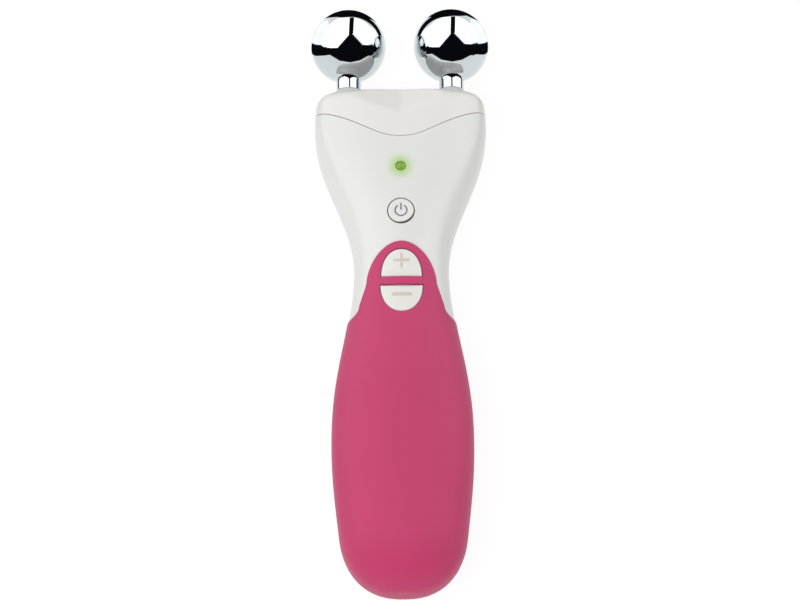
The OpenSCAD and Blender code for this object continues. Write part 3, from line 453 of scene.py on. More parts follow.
def mixed(tree, share, first, second):
    """A mix of two colours, each a list or another node's output."""
    inputs = {"Factor": share, 6: first, 7: second}
    return wired(tree, "ShaderNodeMix", inputs, data_type="RGBA").outputs[2]


def finish(name, colour, other, rough, metal=0.0, patch=14, grain=0.5, relief=0.004, stretch=(1, 1, 1)):
    """A material whose colour drifts between two shades, with a fine grain in its gloss and relief."""
    material = bpy.data.materials.new(name)
    material.use_nodes = True
    tree = material.node_tree
    shader = tree.nodes["Principled BSDF"]
    shader.inputs["Metallic"].default_value = metal
    drift = spread(tree, noise(tree, patch, stretch=stretch), 0, 1)
    tree.links.new(mixed(tree, drift, colour, other), shader.inputs["Base Color"])
    fine = noise(tree, grain, 3.0, stretch)
    tree.links.new(spread(tree, fine, *rough), shader.inputs["Roughness"])
    bump = wired(tree, "ShaderNodeBump", {"Distance": relief * MM, "Height": fine})
    tree.links.new(bump.outputs["Normal"], shader.inputs["Normal"])
    return material


def clad(piece, material):
    piece.data.materials.clear()
    piece.data.materials.append(material)


def white_plastic(name, lighter, darker, rough=(0.28, 0.32), patch=30):
    return finish(name, lighter, darker, rough, patch=patch, relief=0.001)


SHELL_TONES = tone(228, 229, 225), tone(226, 227, 223)
clad(rear_shell, white_plastic("shell_white", *SHELL_TONES))
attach(rear_shell, "casing")
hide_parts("rear_shell")

# ---- Battery tray, cells, contacts and leads ----
# A black tray is pressed into the handle and holds two cells between sprung leaves.
# The leads are tinned and soldered to the leaves and to the board.

STEEL_TONES = tone(196, 198, 202), tone(172, 175, 180)
JACKET_TONES = tone(92, 98, 110), tone(72, 77, 88)
INSULATED = (0.4, 0.55)


def dress(material, *names):
    for name in names:
        clad(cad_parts[name], material)


metals = finish("plated_steel", *STEEL_TONES, (0.22, 0.4), 1.0, patch=6, grain=0.25, relief=0.006)
dress(metals, "bridge_contact", "positive_contact", "negative_contact", "casing_screws", "board_screws",
      "electrode_screws", "electrode_washers", "light_legs")
PLASTIC_TONES = tone(38, 38, 41), tone(28, 28, 31)
black_plastic = finish("black_plastic", *PLASTIC_TONES, (0.42, 0.6), patch=9, grain=0.3, relief=0.01)
dress(black_plastic, "battery_tray", "microcontroller", "resistors", "output_transistors",
      "power_switch", "plus_switch", "minus_switch")
cell_jacket = finish("cell_jacket", *JACKET_TONES, (0.24, 0.36), 0.6, patch=22, grain=0.4, relief=0.003)
dress(cell_jacket, "left_cell", "right_cell")
dress(finish("red_insulation", tone(176, 32, 28), tone(150, 24, 22), INSULATED, patch=4), "red_lead")
dress(finish("black_insulation", tone(34, 34, 36), tone(22, 22, 24), INSULATED, patch=4), "black_lead")
white_insulation = finish("white_insulation", tone(222, 222, 218), tone(205, 205, 200), INSULATED, patch=4)
dress(white_insulation, "left_lead", "right_lead")

# ---- Circuit board and what stands on it ----
# A green board carries the controller, the output transformer and the switches.
# The transformer is a steel core in layers with a winding of lacquered copper wire.

BOARD_TONES = tone(24, 92, 52), tone(16, 74, 42)
board_green = finish("board_green", *BOARD_TONES, (0.22, 0.34), patch=3, grain=0.2, relief=0.01)
dress(board_green, "main_board")
LAYERED, WOUND = (1, 1, 14), (1, 1, 10)
CORE_TONES = tone(120, 122, 126), tone(92, 94, 98)
core_steel = finish("core_steel", *CORE_TONES, (0.35, 0.5), 0.9, 2, 0.2, 0.02, LAYERED)
dress(core_steel, "transformer_core")
COPPER_TONES = tone(190, 104, 52), tone(160, 80, 36)
enamelled_copper = finish("enamelled_copper", *COPPER_TONES, (0.25, 0.4), 0.8, 1, 0.2, 0.03, WOUND)
dress(enamelled_copper, "transformer_winding")
dress(finish("capacitor_sleeve", tone(40, 54, 110), tone(28, 40, 86), (0.22, 0.32), patch=5), "capacitors")
stem_grey = finish("stem_grey", tone(196, 196, 190), tone(178, 178, 172), (0.4, 0.55), patch=3)
dress(stem_grey, "power_stem", "plus_stem", "minus_stem")
BRASS_TONES = tone(212, 186, 118), tone(190, 160, 92)
tinned_brass = finish("tinned_brass", *BRASS_TONES, (0.25, 0.4), 1.0, patch=4, grain=0.3, relief=0.006)
dress(tinned_brass, "electrode_tags")
RUBBER_TONES = tone(30, 30, 31), tone(22, 22, 23)
seal_rubber = finish("seal_rubber", *RUBBER_TONES, (0.55, 0.7), patch=3, grain=0.2, relief=0.01)
dress(seal_rubber, "electrode_seals")

# ---- Front shell ----
# The front half of the casing, white like the rear one. A step in it takes the grip's
# panel, which reaches up round the keys, and holes take the keys, the button and the light.

FRONT = (0, 90)
ARCH_UP, ARCH_L, ARCH_W, ARCH_FOOT_W, ARCH_FLARE, ARCH_POWER = 9.5, 12.3, 20.4, 24.8, 3.2, 1.8
ARCH_AT = GRIP_AT + ARCH_UP
PLUS_W, PLUS_L, MINUS_W, MINUS_L, KEY_POWER = 11.9, 8.3, 12.4, 8.1, 2.15
BRIDGE_AT, BRIDGE_W, KEY_GAP = GRIP_AT + 9.6, 2.7, 0.2
POWER_AT, POWER_D = ARCH_AT + ARCH_L + 9.5, 7.7
LIGHT_AT, LIGHT_D = BODY_L - SEAM_DOWN - SEAM_DIP - 9.5, 3
BOARD_H = 4.6


def in_head(point):
    """The head-frame coordinates, in millimetres, of a point in metres."""
    return (HEAD_FRAME.inverted() @ point) / MM


GRIP_EDGE = in_head(skin(GRIP_AT, 0, 0)).y


def round_top(half, base, height, power, steps=48):
    """Half an outline's round top, from its side to the middle."""
    angles = [math.pi / 2 * k / steps for k in range(steps + 1)]
    return [
        (half * math.cos(t) ** (2 / power), base + height * math.sin(t) ** (2 / power)) for t in angles
    ]


def settle(x, y, inset):
    """The (s, turn) of the front skin's point that lies at (x, y) in the head's frame."""
    s = y
    for _ in range(5):
        share, power = min(1, max(1e-6, x / (half_width(s) - inset))), squareness(s)
        turn = math.degrees(math.atan((share ** -power - 1) ** (1 / power)))
        s += y - in_head(skin(s, turn, inset)).y
    return s, turn


def panel_edge(grow, inset):
    """A row along the panel's edge, from the parting line to the middle, in equal steps."""
    foot, flare, leg_steps, side_steps = ARCH_FOOT_W / 2, ARCH_FLARE, 14, 20
    plan = [
        (foot + flare + (flare - grow) * math.cos(math.radians(t)),
         GRIP_EDGE + flare + (flare - grow) * math.sin(math.radians(t)))
        for t in range(270, 179, -5)
    ]
    top = round_top(ARCH_W / 2 + grow, ARCH_AT, ARCH_L + grow, ARCH_POWER, 90)
    last = plan[-1]
    plan += [
        (last[0] + (top[0][0] - last[0]) * k / leg_steps, last[1] + (top[0][1] - last[1]) * k / leg_steps)
        for k in range(1, leg_steps)
    ]
    plan = [(x, y) for x, y in plan if x < half_width(y) - inset - 0.02]
    level = plan[0][1]
    side_turn = settle(*plan[0], inset)[1]
    points = []
    for k in range(side_steps):
        turn, s = side_turn * k / side_steps, level
        for _ in range(5):
            s += level - in_head(skin(s, turn, inset)).y
        points.append((s, turn))
    points += [settle(x, y, inset) for x, y in plan + top]
    places = [skin(*point, inset) for point in points]
    lengths = [0]
    for a, b in zip(places, places[1:]):
        lengths.append(lengths[-1] + (b - a).length)
    row, i = [], 0
    for k in range(ACROSS + 1):
        target = lengths[-1] * k / ACROSS
        while i < len(lengths) - 2 and lengths[i + 1] < target:
            i += 1
        t = (target - lengths[i]) / (lengths[i + 1] - lengths[i])
        row.append(tuple(a + (b - a) * t for a, b in zip(points[i], points[i + 1])) + (inset,))
    return row


ARCH_FROM, PANEL_ROWS = 66, 30
guard = panel_edge(FIT_GAP - RIM, RECESS)
front_rows = end_rows(*FRONT, RECESS) + side_rows(*FRONT, RECESS, ARCH_FROM)
front_rows += between_rows(front_rows[-1], guard, PANEL_ROWS) + [guard]
front_rows += [panel_edge(FIT_GAP, RECESS), panel_edge(FIT_GAP, 0), panel_edge(FIT_GAP + RIM, 0)]
front_rows += between_rows(front_rows[-1], seam_row(RIM, *FRONT, 0), SEAM_ROWS)
front_rows += [seam_row(RIM, *FRONT, 0), seam_row(SEAM_GAP / 2, *FRONT, 0)]
front_shell = moulding("front_casing", front_rows, level_rows(front_rows, *FRONT, WALL))
cut(front_shell, screw_posts(front_rows, *FRONT, 1), operation="UNION")
SCREW_BITE = 6
tapped_l, tapped_r = SCREW_BITE + FIT_GAP, SCREW_D / 2 + 0.01
for place in both(*HEAD_SCREW, True):
    cut(front_shell, rod(place, -1, tapped_l, tapped_r))
for place in both(*END_SCREW, False):
    cut(front_shell, rod(place, AXIS_H - 1, AXIS_H + tapped_l, tapped_r))


def key_outline(half, length, way, grow):
    """A key from the front: flat towards the bridge, round on its far side."""
    top = round_top(half + grow, BRIDGE_W / 2 - grow, length + 2 * grow, KEY_POWER)
    side = [(x, BRIDGE_AT + way * y) for x, y in top]
    return side + [(-x, y) for x, y in reversed(side[:-1])]


PLUS, MINUS = (PLUS_W / 2, PLUS_L, 1), (MINUS_W / 2, MINUS_L, -1)
for key in (PLUS, MINUS):
    cut(front_shell, extruded(key_outline(*key, KEY_GAP), BOARD_H, THROUGH, HEAD_FRAME))
cut(front_shell, rod(((0, POWER_AT), True), BOARD_H, THROUGH, POWER_D / 2 + KEY_GAP, 96))
cut(front_shell, rod(((0, LIGHT_AT), True), BOARD_H, THROUGH, LIGHT_D / 2 + FIT_GAP, 64))
soften(front_shell)


def near(tree, place, full, none):
    """1 at the distance full from a place and 0 at the distance none, with a soft course between."""
    inputs = {0: own_place(tree), 1: place}
    far = wired(tree, "ShaderNodeVectorMath", inputs, operation="DISTANCE").outputs["Value"]
    return ramp(tree, far, full * MM, none * MM, 1, 0, "SMOOTHERSTEP")


def tint(material, share, colour):
    """Mixes a colour into a finish where the share is high."""
    tree = material.node_tree
    base = tree.nodes["Principled BSDF"].inputs["Base Color"]
    tree.links.new(mixed(tree, share, base.links[0].from_socket, colour), base)


# Painted glow: the shell's white is tinted green round the status light, standing for the light that it
# throws on the shell.
PAINTED_GLOW_REACH = (0.2, 5.4)
front_white = white_plastic("front_white", *SHELL_TONES)
light_place = head_point(0, LIGHT_AT, in_head(skin(LIGHT_AT, 90, 0)).z)
tint(front_white, near(front_white.node_tree, light_place, *PAINTED_GLOW_REACH), tone(176, 212, 128))
clad(front_shell, front_white)
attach(front_shell, "casing")
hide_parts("front_shell")

# ---- Soft grip ----
# Two pink soft-touch mouldings, front and back, bonded into the step of the shells.
# The front one carries the arch round the keys, and its edges are slightly rounded.

SOFT_EDGE = 0.16
PINK_TONES = tone(196, 62, 109), tone(192, 59, 105)
grip_pink = finish("grip_pink", *PINK_TONES, (0.46, 0.56), patch=22, grain=0.22, relief=0.006)
shader = grip_pink.node_tree.nodes["Principled BSDF"]
shader.inputs["Specular IOR Level"].default_value = 0.25
shader.inputs["Sheen Weight"].default_value = 0.04
shader.inputs["Sheen Roughness"].default_value = 0.4


def panel_rows(inset):
    rows, last = end_rows(*FRONT, inset) + side_rows(*FRONT, inset, ARCH_FROM), panel_edge(-RIM, inset)
    return rows + between_rows(rows[-1], last, PANEL_ROWS) + [last, panel_edge(0, inset)]


def sleeve_rows(inset):
    rows = end_rows(*BACK, inset) + side_rows(*BACK, inset, GRIP_AT - RIM)
    return rows + [even_row(GRIP_AT, *BACK, inset)]


front_grip = moulding("front_soft_grip", panel_rows(-PROUD), panel_rows(GRIP_T - PROUD))
for key in (PLUS, MINUS):
    cut(front_grip, extruded(key_outline(*key, KEY_GAP), BOARD_H, THROUGH, HEAD_FRAME))

rear_grip = moulding("rear_soft_grip", sleeve_rows(-PROUD), sleeve_rows(GRIP_T - PROUD))
cut(rear_grip, door_hole())
for place in both(*END_SCREW, False):
    cut(rear_grip, rod(place, -1, THROUGH, SCREW_HEAD_D / 2 + SCREW_GAP))

for piece, node in ((front_grip, "front_grip"), (rear_grip, "rear_grip")):
    soften(piece, SOFT_EDGE, segments=3)
    clad(piece, grip_pink)
    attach(piece, "casing")
    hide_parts(node)

# ---- Plus and minus keys ----
# Two white keys that lie flush in the grip's panel, each with its sign raised on it.
# They press straight in, and their edges are rounded.

SWITCH_T = 2.2
KEY_ROLL, STEM_TOP = 0.35, BOARD_H + SWITCH_T + 0.7
KEY_MIDDLE, KEY_ROWS, ROLL_ROWS = 0.45, 40, 4
SIGN_RISE, SIGN_SOFT = 0.22, 0.3
PLUS_SIGN_AT, MINUS_SIGN_AT = BRIDGE_AT + 6.1, BRIDGE_AT - 4.4
# Half of each sign's width, length and stroke, and of the stroke of painted shade laid on it
PLUS_HALF_W, PLUS_HALF_L, PLUS_STROKE, PLUS_SHADE_STROKE = 2.35, 2.2, 0.45, 0.3
MINUS_HALF_W, MINUS_STROKE, MINUS_SHADE_STROKE = 2.9, 0.55, 0.42


def bar_height(x, y, half_x, half_y):
    """How far a point lies inside a bar with soft edges, from 0 to 1."""
    outside = max(abs(x) - half_x, abs(y) - half_y)
    return 1 - ease((outside + SIGN_SOFT / 2) / SIGN_SOFT)


def plus_sign(x, y):
    up = y - PLUS_SIGN_AT
    return max(bar_height(x, up, PLUS_HALF_W, PLUS_STROKE), bar_height(x, up, PLUS_STROKE, PLUS_HALF_L))


def minus_sign(x, y):
    return bar_height(x, y - MINUS_SIGN_AT, MINUS_HALF_W, MINUS_STROKE)


def skin_height(x, y, inset):
    return in_head(skin(*settle(abs(x), y, inset), inset)).z


def key_piece(name, half, length, way, sign):
    """A key: its face from the middle out with the sign on it, its rolled edge, its side and its foot."""
    def ring(grow):
        outline = key_outline(half, length, way, grow)
        return outline + [outline[0]]
    outer, flat = ring(0), ring(-KEY_ROLL)
    centre = BRIDGE_AT + way * (BRIDGE_W / 2 + length * KEY_MIDDLE)
    rows = []
    for j in range(KEY_ROWS + 1):
        t = j / KEY_ROWS
        row = [(x * t, centre + (y - centre) * t) for x, y in flat]
        rows.append([(x, y, skin_height(x, y, -PROUD) + SIGN_RISE * sign(x, y)) for x, y in row])
    for k in range(1, ROLL_ROWS + 1):
        t = math.radians(90 * k / ROLL_ROWS)
        edge = ring(-KEY_ROLL * (1 - math.sin(t)))
        rows.append([(x, y, skin_height(x, y, -PROUD) - KEY_ROLL * (1 - math.cos(t))) for x, y in edge])
    rows.append([(x, y, STEM_TOP) for x, y in outer])
    rows.append([(0, centre, STEM_TOP) for _ in outer])
    piece = laid_grid(name, [[head_point(*p) for p in row] for row in rows])
    weld(piece)
    select_only(piece)
    bpy.ops.object.shade_smooth_by_angle(angle=math.radians(40))
    return piece


def maths(tree, operation, *values):
    return wired(tree, "ShaderNodeMath", dict(enumerate(values)), operation=operation).outputs[0]


def way_along(tree, axis):
    """How far a point lies along an axis through the origin."""
    inputs = {0: own_place(tree), 1: axis}
    return wired(tree, "ShaderNodeVectorMath", inputs, operation="DOT_PRODUCT").outputs["Value"]


SIGN_EDGE = (-0.12 * MM, 0.2 * MM)


def bar_mask(tree, y, half_x, half_y):
    """1 inside a bar seen from the front, 0 outside, with a narrow soft edge."""
    outside = []
    for axis, half in ((Vector((1, 0, 0)), half_x), (HEAD_FRAME.col[1].to_3d(), half_y)):
        off = maths(tree, "SUBTRACT", way_along(tree, axis), head_point(0, y, 0).dot(axis))
        outside.append(maths(tree, "SUBTRACT", maths(tree, "ABSOLUTE", off), half * MM))
    return ramp(tree, maths(tree, "MAXIMUM", *outside), *SIGN_EDGE, 1, 0)


KEY_TONES, KEY_ROUGH, KEY_PATCH = (tone(232, 231, 226), tone(229, 228, 223)), (0.28, 0.36), 12


def key_finish(name, *bars):
    """The keys' white, with painted shade in soft beige over the raised sign."""
    material = white_plastic(name, *KEY_TONES, KEY_ROUGH, KEY_PATCH)
    # Painted shade: the raised sign is tinted soft beige to stand for the shade of its relief.
    for bar in bars:
        tint(material, bar_mask(material.node_tree, *bar), tone(210, 196, 184))
    return material


plus_bars = (PLUS_SIGN_AT, PLUS_HALF_W, PLUS_SHADE_STROKE), (PLUS_SIGN_AT, PLUS_SHADE_STROKE, PLUS_HALF_L)
plus_white = key_finish("plus_white", *plus_bars)
minus_white = key_finish("minus_white", (MINUS_SIGN_AT, MINUS_HALF_W, MINUS_SHADE_STROKE))
plus_key = key_piece("plus_button", *PLUS, plus_sign)
minus_key = key_piece("minus_button", *MINUS, minus_sign)
for piece, node, material in ((plus_key, "plus_key", plus_white), (minus_key, "minus_key", minus_white)):
    clad(piece, material)
    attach(piece, node)
    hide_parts(node)

# ---- Power button and its sign ----
# A round white button that stands a little out of the shell, with a flange below it
# that holds it in, and the power sign inlaid in dark grey.


def turned(name, profile, at, steps=96):
    """A turned piece from its closed half profile of (radius, height), about an axis along the head's Z."""
    bpy.ops.mesh.primitive_circle_add(vertices=len(profile), fill_type="NOTHING")
    piece = bpy.context.object
    piece.name = name
    for vertex, (r, h) in zip(piece.data.vertices, profile):
        vertex.co = Vector((r, 0, h)) * MM
    apply_modifier(piece, "SCREW", steps=steps, render_steps=steps, use_merge_vertices=True,
                   merge_threshold=MERGE)
    weld(piece)
    piece.data.transform(at)
    select_only(piece)
    bpy.ops.object.shade_smooth_by_angle(angle=math.radians(35))
    return piece


def below(tree, full, none):
    """1 below the height full in the head's frame and 0 above the height none, on the button's axis."""
    up = HEAD_FRAME.col[2].to_3d()
    ends = [head_point(0, POWER_AT, height).dot(up) for height in (full, none)]
    return ramp(tree, way_along(tree, up), *ends, 1, 0)


POWER_PROUD = 0.35
power_top = skin_height(0, POWER_AT, 0) + POWER_PROUD
r = POWER_D / 2
ROLL, DISH, FLANGE_W, FLANGE_T = 0.7, 0.12, 0.8, 1
flange_r, flange_top = r + FLANGE_W, STEM_TOP + FLANGE_T
profile = [(0, STEM_TOP), (flange_r, STEM_TOP), (flange_r, flange_top), (r, flange_top)]
profile += [
    (r - ROLL + ROLL * math.cos(math.radians(t)), power_top - ROLL + ROLL * math.sin(math.radians(t)))
    for t in range(0, 91, 10)
]
profile += [
    ((r - ROLL) * k / 10, power_top - DISH * (1 - (k / 10) ** 2)) for k in range(9, -1, -1)
]
button_frame = HEAD_FRAME @ Matrix.Translation(Vector((0, POWER_AT, 0)) * MM)
power_button = turned("power_button_cap", profile, button_frame)
# The shade in the gap round the button, and the crescent of it that the rolled edge shows
GAP_SHADE, SHADE_OFF, SHADE_SOFT = (0.42, 0.3), (-0.25, 0.42), (0.3, 0.05)
button_white = white_plastic("button_white", *KEY_TONES, KEY_ROUGH, KEY_PATCH)
in_gap = below(button_white.node_tree, power_top - GAP_SHADE[0], power_top - GAP_SHADE[1])
tint(button_white, in_gap, tone(104, 88, 72))
shade_from = head_point(SHADE_OFF[0], POWER_AT + SHADE_OFF[1], power_top)
crescent = near(button_white.node_tree, shade_from, r + SHADE_SOFT[0], r + SHADE_SOFT[1])
tint(button_white, crescent, tone(96, 80, 66))
clad(power_button, button_white)
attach(power_button, "power_button")
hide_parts("power_button")

SIGN_R, SIGN_W, SIGN_GAP, SIGN_T, INLAY = 1.72, 0.36, 32, 0.05, 0.2
STROKE_FROM, STROKE_TO = 0.15, 2.25
sign_z = power_top - DISH + SIGN_T


def sign_height(out):
    """The height of the sign's face, which follows the dished button, at a distance from its middle."""
    return sign_z + DISH * (out / (r - ROLL)) ** 2


near_r, far_r = SIGN_R - SIGN_W / 2, SIGN_R + SIGN_W / 2
rows = []
for t in range(90 + SIGN_GAP, 451 - SIGN_GAP, 4):
    a = math.radians(t)
    rows.append([
        (radius * math.cos(a), radius * math.sin(a), sign_height(radius) - low)
        for radius, low in ((near_r, INLAY), (near_r, 0), (far_r, 0), (far_r, INLAY))
    ])
ring = laid_grid("power_sign", [[Vector(p) * MM for p in row] for row in rows])
bar_rows = []
for y in (STROKE_FROM, STROKE_TO):
    h, half = sign_height(y), SIGN_W / 2
    bar_rows.append([(-half, y, h - INLAY), (-half, y, h), (half, y, h), (half, y, h - INLAY)])
bar = laid_grid("power_bar", [[Vector(p) * MM for p in row] for row in bar_rows])
for piece in (ring, bar):
    piece.data.transform(button_frame)
select_only(ring)
bar.select_set(True)
bpy.ops.object.join()
weld(ring)
ring.data.name = "power_sign"
clad(ring, finish("sign_grey", tone(84, 96, 102), tone(76, 88, 94), (0.3, 0.4), patch=1))
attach(ring, "power_button")

# ---- Status light ----
# A green lens of clear plastic, moulded round a light that shines up into it. Its dome
# stands a hair out of the shell, and a rim at its foot holds it in.

RIM_W, RIM_T, DOME, DOME_SINK, LENS_DOWN = 0.3, 0.8, 0.6, 0.5, 0.4
dome_from = skin_height(0, LIGHT_AT, 0) - DOME_SINK
r = LIGHT_D / 2
foot = BOARD_H + SWITCH_T - LENS_DOWN
profile = [(0, foot), (r + RIM_W, foot), (r + RIM_W, foot + RIM_T), (r, foot + RIM_T)]
profile += [
    (r * math.cos(math.radians(t)), dome_from + DOME * math.sin(math.radians(t))) for t in range(0, 91, 9)
]
light = turned("status_lens", profile, HEAD_FRAME @ Matrix.Translation(Vector((0, LIGHT_AT, 0)) * MM), 64)
lens_green = finish("lens_green", tone(126, 160, 58), tone(112, 148, 48), (0.12, 0.2), patch=2)
shader = lens_green.node_tree.nodes["Principled BSDF"]
shader.inputs["Emission Color"].default_value = tone(120, 180, 50)
shader.inputs["Emission Strength"].default_value = 0.12
clad(light, lens_green)
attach(light, "casing")
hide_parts("status_light")

# ---- Head cap ----
# A white cap closes the head. Its front slopes back in a wide V between two bosses,
# which carry the electrodes and run softly into it.

SCOOP_AT, SCOOP_SLOPE, SCOOP_RISE, SCOOP_R = BODY_L - 8.7, math.radians(21.4), math.radians(7.4), 12
BALL_GAP, BOSS_D, BOSS_L, NECK_D, SPIGOT_D = 30, 11.2, 2.3, 7.2, 5
SCOOP_LOW, CREASE, FOOT_ROUND, TOP_ROWS = 2, 0.35, 1.1, 40


def smooth_min(a, b, reach):
    share = max(0, reach - abs(a - b)) / reach
    return min(a, b) - share * share * reach / 4


def scooped(point, inset):
    """Lowers a point of the cap's front to the scoop, with a soft crease."""
    x, y, v = point
    if abs(x) < SCOOP_R * math.sin(SCOOP_RISE):
        rise = SCOOP_R / math.cos(SCOOP_RISE) - math.sqrt(SCOOP_R ** 2 - x * x)
    else:
        rise = abs(x) * math.tan(SCOOP_RISE)
    floor_v = HEAD_FRONT + (rise - inset) / math.cos(SCOOP_SLOPE) - (y - SCOOP_AT) * math.tan(SCOOP_SLOPE)
    return (x, y, smooth_min(v, floor_v, CREASE)) if v > SCOOP_LOW else point


def bossed(point):
    """Raises a point of the cap's top onto the bosses, with a soft foot."""
    x, y, v = point
    r = math.hypot(abs(x) - BALL_GAP / 2, v - BALL_V)
    top_r, foot_r = NECK_D / 2 + 0.2, BOSS_D / 2
    cone = BODY_L + BOSS_L * min(1, (foot_r - r) / (foot_r - top_r))
    if y < BODY_L - CAP_ROUND:
        return point
    return (x, -smooth_min(-y, -cone, FOOT_ROUND), v)


def cap_rows(start, stop, inset, steps=56):
    """Rows of the cap, in the head's frame, from its seam over its edge to the middle of its top."""
    rows, r = [[] for _ in range(steps + 1)], CAP_ROUND - inset
    for _, turn, _ in even_row(0, start, stop, inset):
        first = seam_at(turn) + SEAM_GAP / 2
        straight = max(0, BODY_L - CAP_ROUND - first)
        bent = math.asin(max(0, first - BODY_L + CAP_ROUND) / r)
        for k, row in enumerate(rows):
            along = (straight + r * (math.pi / 2 - bent)) * k / steps
            s = first + along
            if along > straight:
                s = BODY_L - CAP_ROUND + r * math.sin(min(math.pi / 2, bent + (along - straight) / r))
            row.append(in_head(skin(s, turn, inset)))
    edge, shares = rows[-1], [1 - k / TOP_ROWS for k in range(1, TOP_ROWS + 1)]
    rows += [[(p.x * share, p.y, p.z * share) for p in edge] for share in shares]
    return [[scooped(point, inset) for point in row] for row in rows]


def cap_half(name, start, stop):
    inside = cap_rows(start, stop, WALL)
    outside = [[bossed(point) for point in row] for row in cap_rows(start, stop, 0)]
    piece = laid_grid(name, [[head_point(*p) for p in row] for row in inside[::-1] + outside])
    apply_modifier(piece, "MIRROR", merge_threshold=MERGE)
    return piece


ACROSS = 96
head_cap = cap_half("electrode_cap", *FRONT)
cap_back = cap_half("cap_back", *BACK)
select_only(head_cap)
cap_back.select_set(True)
bpy.ops.object.join()
weld(head_cap)
ALONG_HEAD = Matrix.Rotation(-math.pi / 2, 4, "X")


def post_frame(side):
    """The frame of an electrode: its Z runs along the head's axis from the boss's shoulder."""
    place = Vector((side * BALL_GAP / 2, BODY_L + BOSS_L + FIT_GAP, BALL_V)) * MM
    return HEAD_FRAME @ Matrix.Translation(place) @ ALONG_HEAD


for side in (-1, 1):
    bpy.ops.mesh.primitive_cylinder_add(vertices=48, radius=(SPIGOT_D / 2 + FIT_GAP) * MM, depth=20 * MM)
    bore = bpy.context.object
    bore.data.transform(post_frame(side))
    cut(head_cap, bore)
soften(head_cap)
cap_white = white_plastic("cap_white", tone(233, 230, 226), tone(231, 228, 224))
clad(head_cap, cap_white)
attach(head_cap, "casing")
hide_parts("head_cap")

# ---- Electrodes ----
# Two hollow balls, each turned in one piece with its neck and spigot, and chromed.
# A small fillet joins ball and neck.

NECK_FILLET, BALL_WALL, NECK_EDGE = 2, 1.2, 0.15
SPIGOT_FOOT, TAPPED_D, TAPPED_L, TAPPED_END = -7.85, 2.5, 5, 2


def arc(x, y, radius, start, stop, steps):
    angles = [math.radians(start + (stop - start) * k / steps) for k in range(steps + 1)]
    return [(x + radius * math.cos(t), y + radius * math.sin(t)) for t in angles]


up = BALL_AT - (BODY_L + BOSS_L + FIT_GAP)
ball_r, neck_r = BALL_D / 2, NECK_D / 2
fillet_x = neck_r + NECK_FILLET
fillet_y = up - math.sqrt((ball_r + NECK_FILLET) ** 2 - fillet_x ** 2)
fillet_end = math.degrees(math.atan2(up - fillet_y, -fillet_x))
ball_start = math.degrees(math.atan2(fillet_y - up, fillet_x))
tapped_r, tapped_top = TAPPED_D / 2, SPIGOT_FOOT + TAPPED_L
profile = [
    (0, tapped_top + TAPPED_END), (0, tapped_top), (tapped_r, tapped_top), (tapped_r, SPIGOT_FOOT),
    (SPIGOT_D / 2, SPIGOT_FOOT), (SPIGOT_D / 2, 0), (neck_r - NECK_EDGE, 0), (neck_r, NECK_EDGE),
]
profile += arc(fillet_x, fillet_y, NECK_FILLET, 180, fillet_end, 10)
profile += arc(0, up, ball_r, ball_start, 90, 80)[1:]
profile += arc(0, up, ball_r - BALL_WALL, 90, -70, 30)
chrome = finish("chrome_plate", tone(206, 213, 216), tone(203, 210, 214), (0.015, 0.03), 1.0, 30, 2.0, 0.0)
for side, node in ((-1, "left_electrode"), (1, "right_electrode")):
    ball = turned(node.replace("electrode", "ball"), profile, post_frame(side), 144)
    clad(ball, chrome)
    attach(ball, "casing")
    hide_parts(node)

# ---- Battery door ----
# A pink cover let into the back of the handle. It turns on two stub pins in its lower
# corners, has grooves for the thumb, and carries a foam strip that holds the cells.

ACROSS = 48
DOOR_T, DOOR_EDGE, PIN_D, PIN_L, LUG_R, LUG_W = 2.2, 0.14, 1.2, 1.2, 1.6, 1.8
GROOVES, GROOVE_DOWN, GROOVE_STEP, GROOVE_HALF, GROOVE_W, GROOVE_TOP = 4, 5, 2, 5, 0.9, 0.5
door = moulding("battery_cover", *[
    side_rows(*BACK, inset, DOOR_END_AT + 4) for inset in (-PROUD, DOOR_T - PROUD)
])
cover = extruded(door_outline(0, HINGE_AT), *DOOR_CUT, LENGTHWISE)
barrel = hinge_rod(HINGE_H, DOOR_W)
cut(cover, barrel, operation="UNION")
cut(door, cover, operation="INTERSECT")
for side in (-1, 1):
    lug = hinge_rod(LUG_R, LUG_W)
    lug.data.transform(Matrix.Translation(Vector((side * (DOOR_W - LUG_W) / 2, 0, 0)) * MM))
    pin = hinge_rod(PIN_D / 2, PIN_L + LUG_W)
    pin.data.transform(Matrix.Translation(Vector((side * (DOOR_W + PIN_L - LUG_W) / 2, 0, 0)) * MM))
    cut(door, lug, pin, operation="UNION")
for k in range(GROOVES):
    y = DOOR_END_AT - GROOVE_DOWN - GROOVE_STEP * k
    corners = [(-GROOVE_HALF, y), (GROOVE_HALF, y), (GROOVE_HALF, y + GROOVE_W), (-GROOVE_HALF, y + GROOVE_W)]
    cut(door, extruded(corners, -1, GROOVE_TOP, LENGTHWISE))
soften(door, DOOR_EDGE)
clad(door, grip_pink)
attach(door, "battery_door")
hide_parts("battery_door")
FOAM_TONES = tone(74, 74, 78), tone(60, 60, 64)
dress(finish("foam_grey", *FOAM_TONES, (0.8, 0.95), patch=1, grain=0.3, relief=0.08), "door_pad")

# ---- Floor, light and camera ----
# White paper under the part and a bright room, with one soft lamp over the left side.
# The paper looks brighter to the camera and to shiny surfaces than the light it throws.

FLOOR_DOWN, FLOOR_SIZE = 0.02, 24
PAPER_GLOW, GLOW_SHARE, ROOM_LIGHT = 1.06, 0.86, 0.67
WHITE, BLACK = (1, 1, 1, 1), (0.004, 0.004, 0.006, 1)
bpy.ops.mesh.primitive_plane_add(size=FLOOR_SIZE, location=(0, 0, -FLOOR_DOWN * MM))
floor = bpy.context.object
floor.name = "floor"


def seen(tree):
    """1 for the camera and for reflections, 0 for the light that falls on surfaces."""
    rays = wired(tree, "ShaderNodeLightPath", {}).outputs
    return maths(tree, "MAXIMUM", rays["Is Camera Ray"], rays["Is Glossy Ray"])


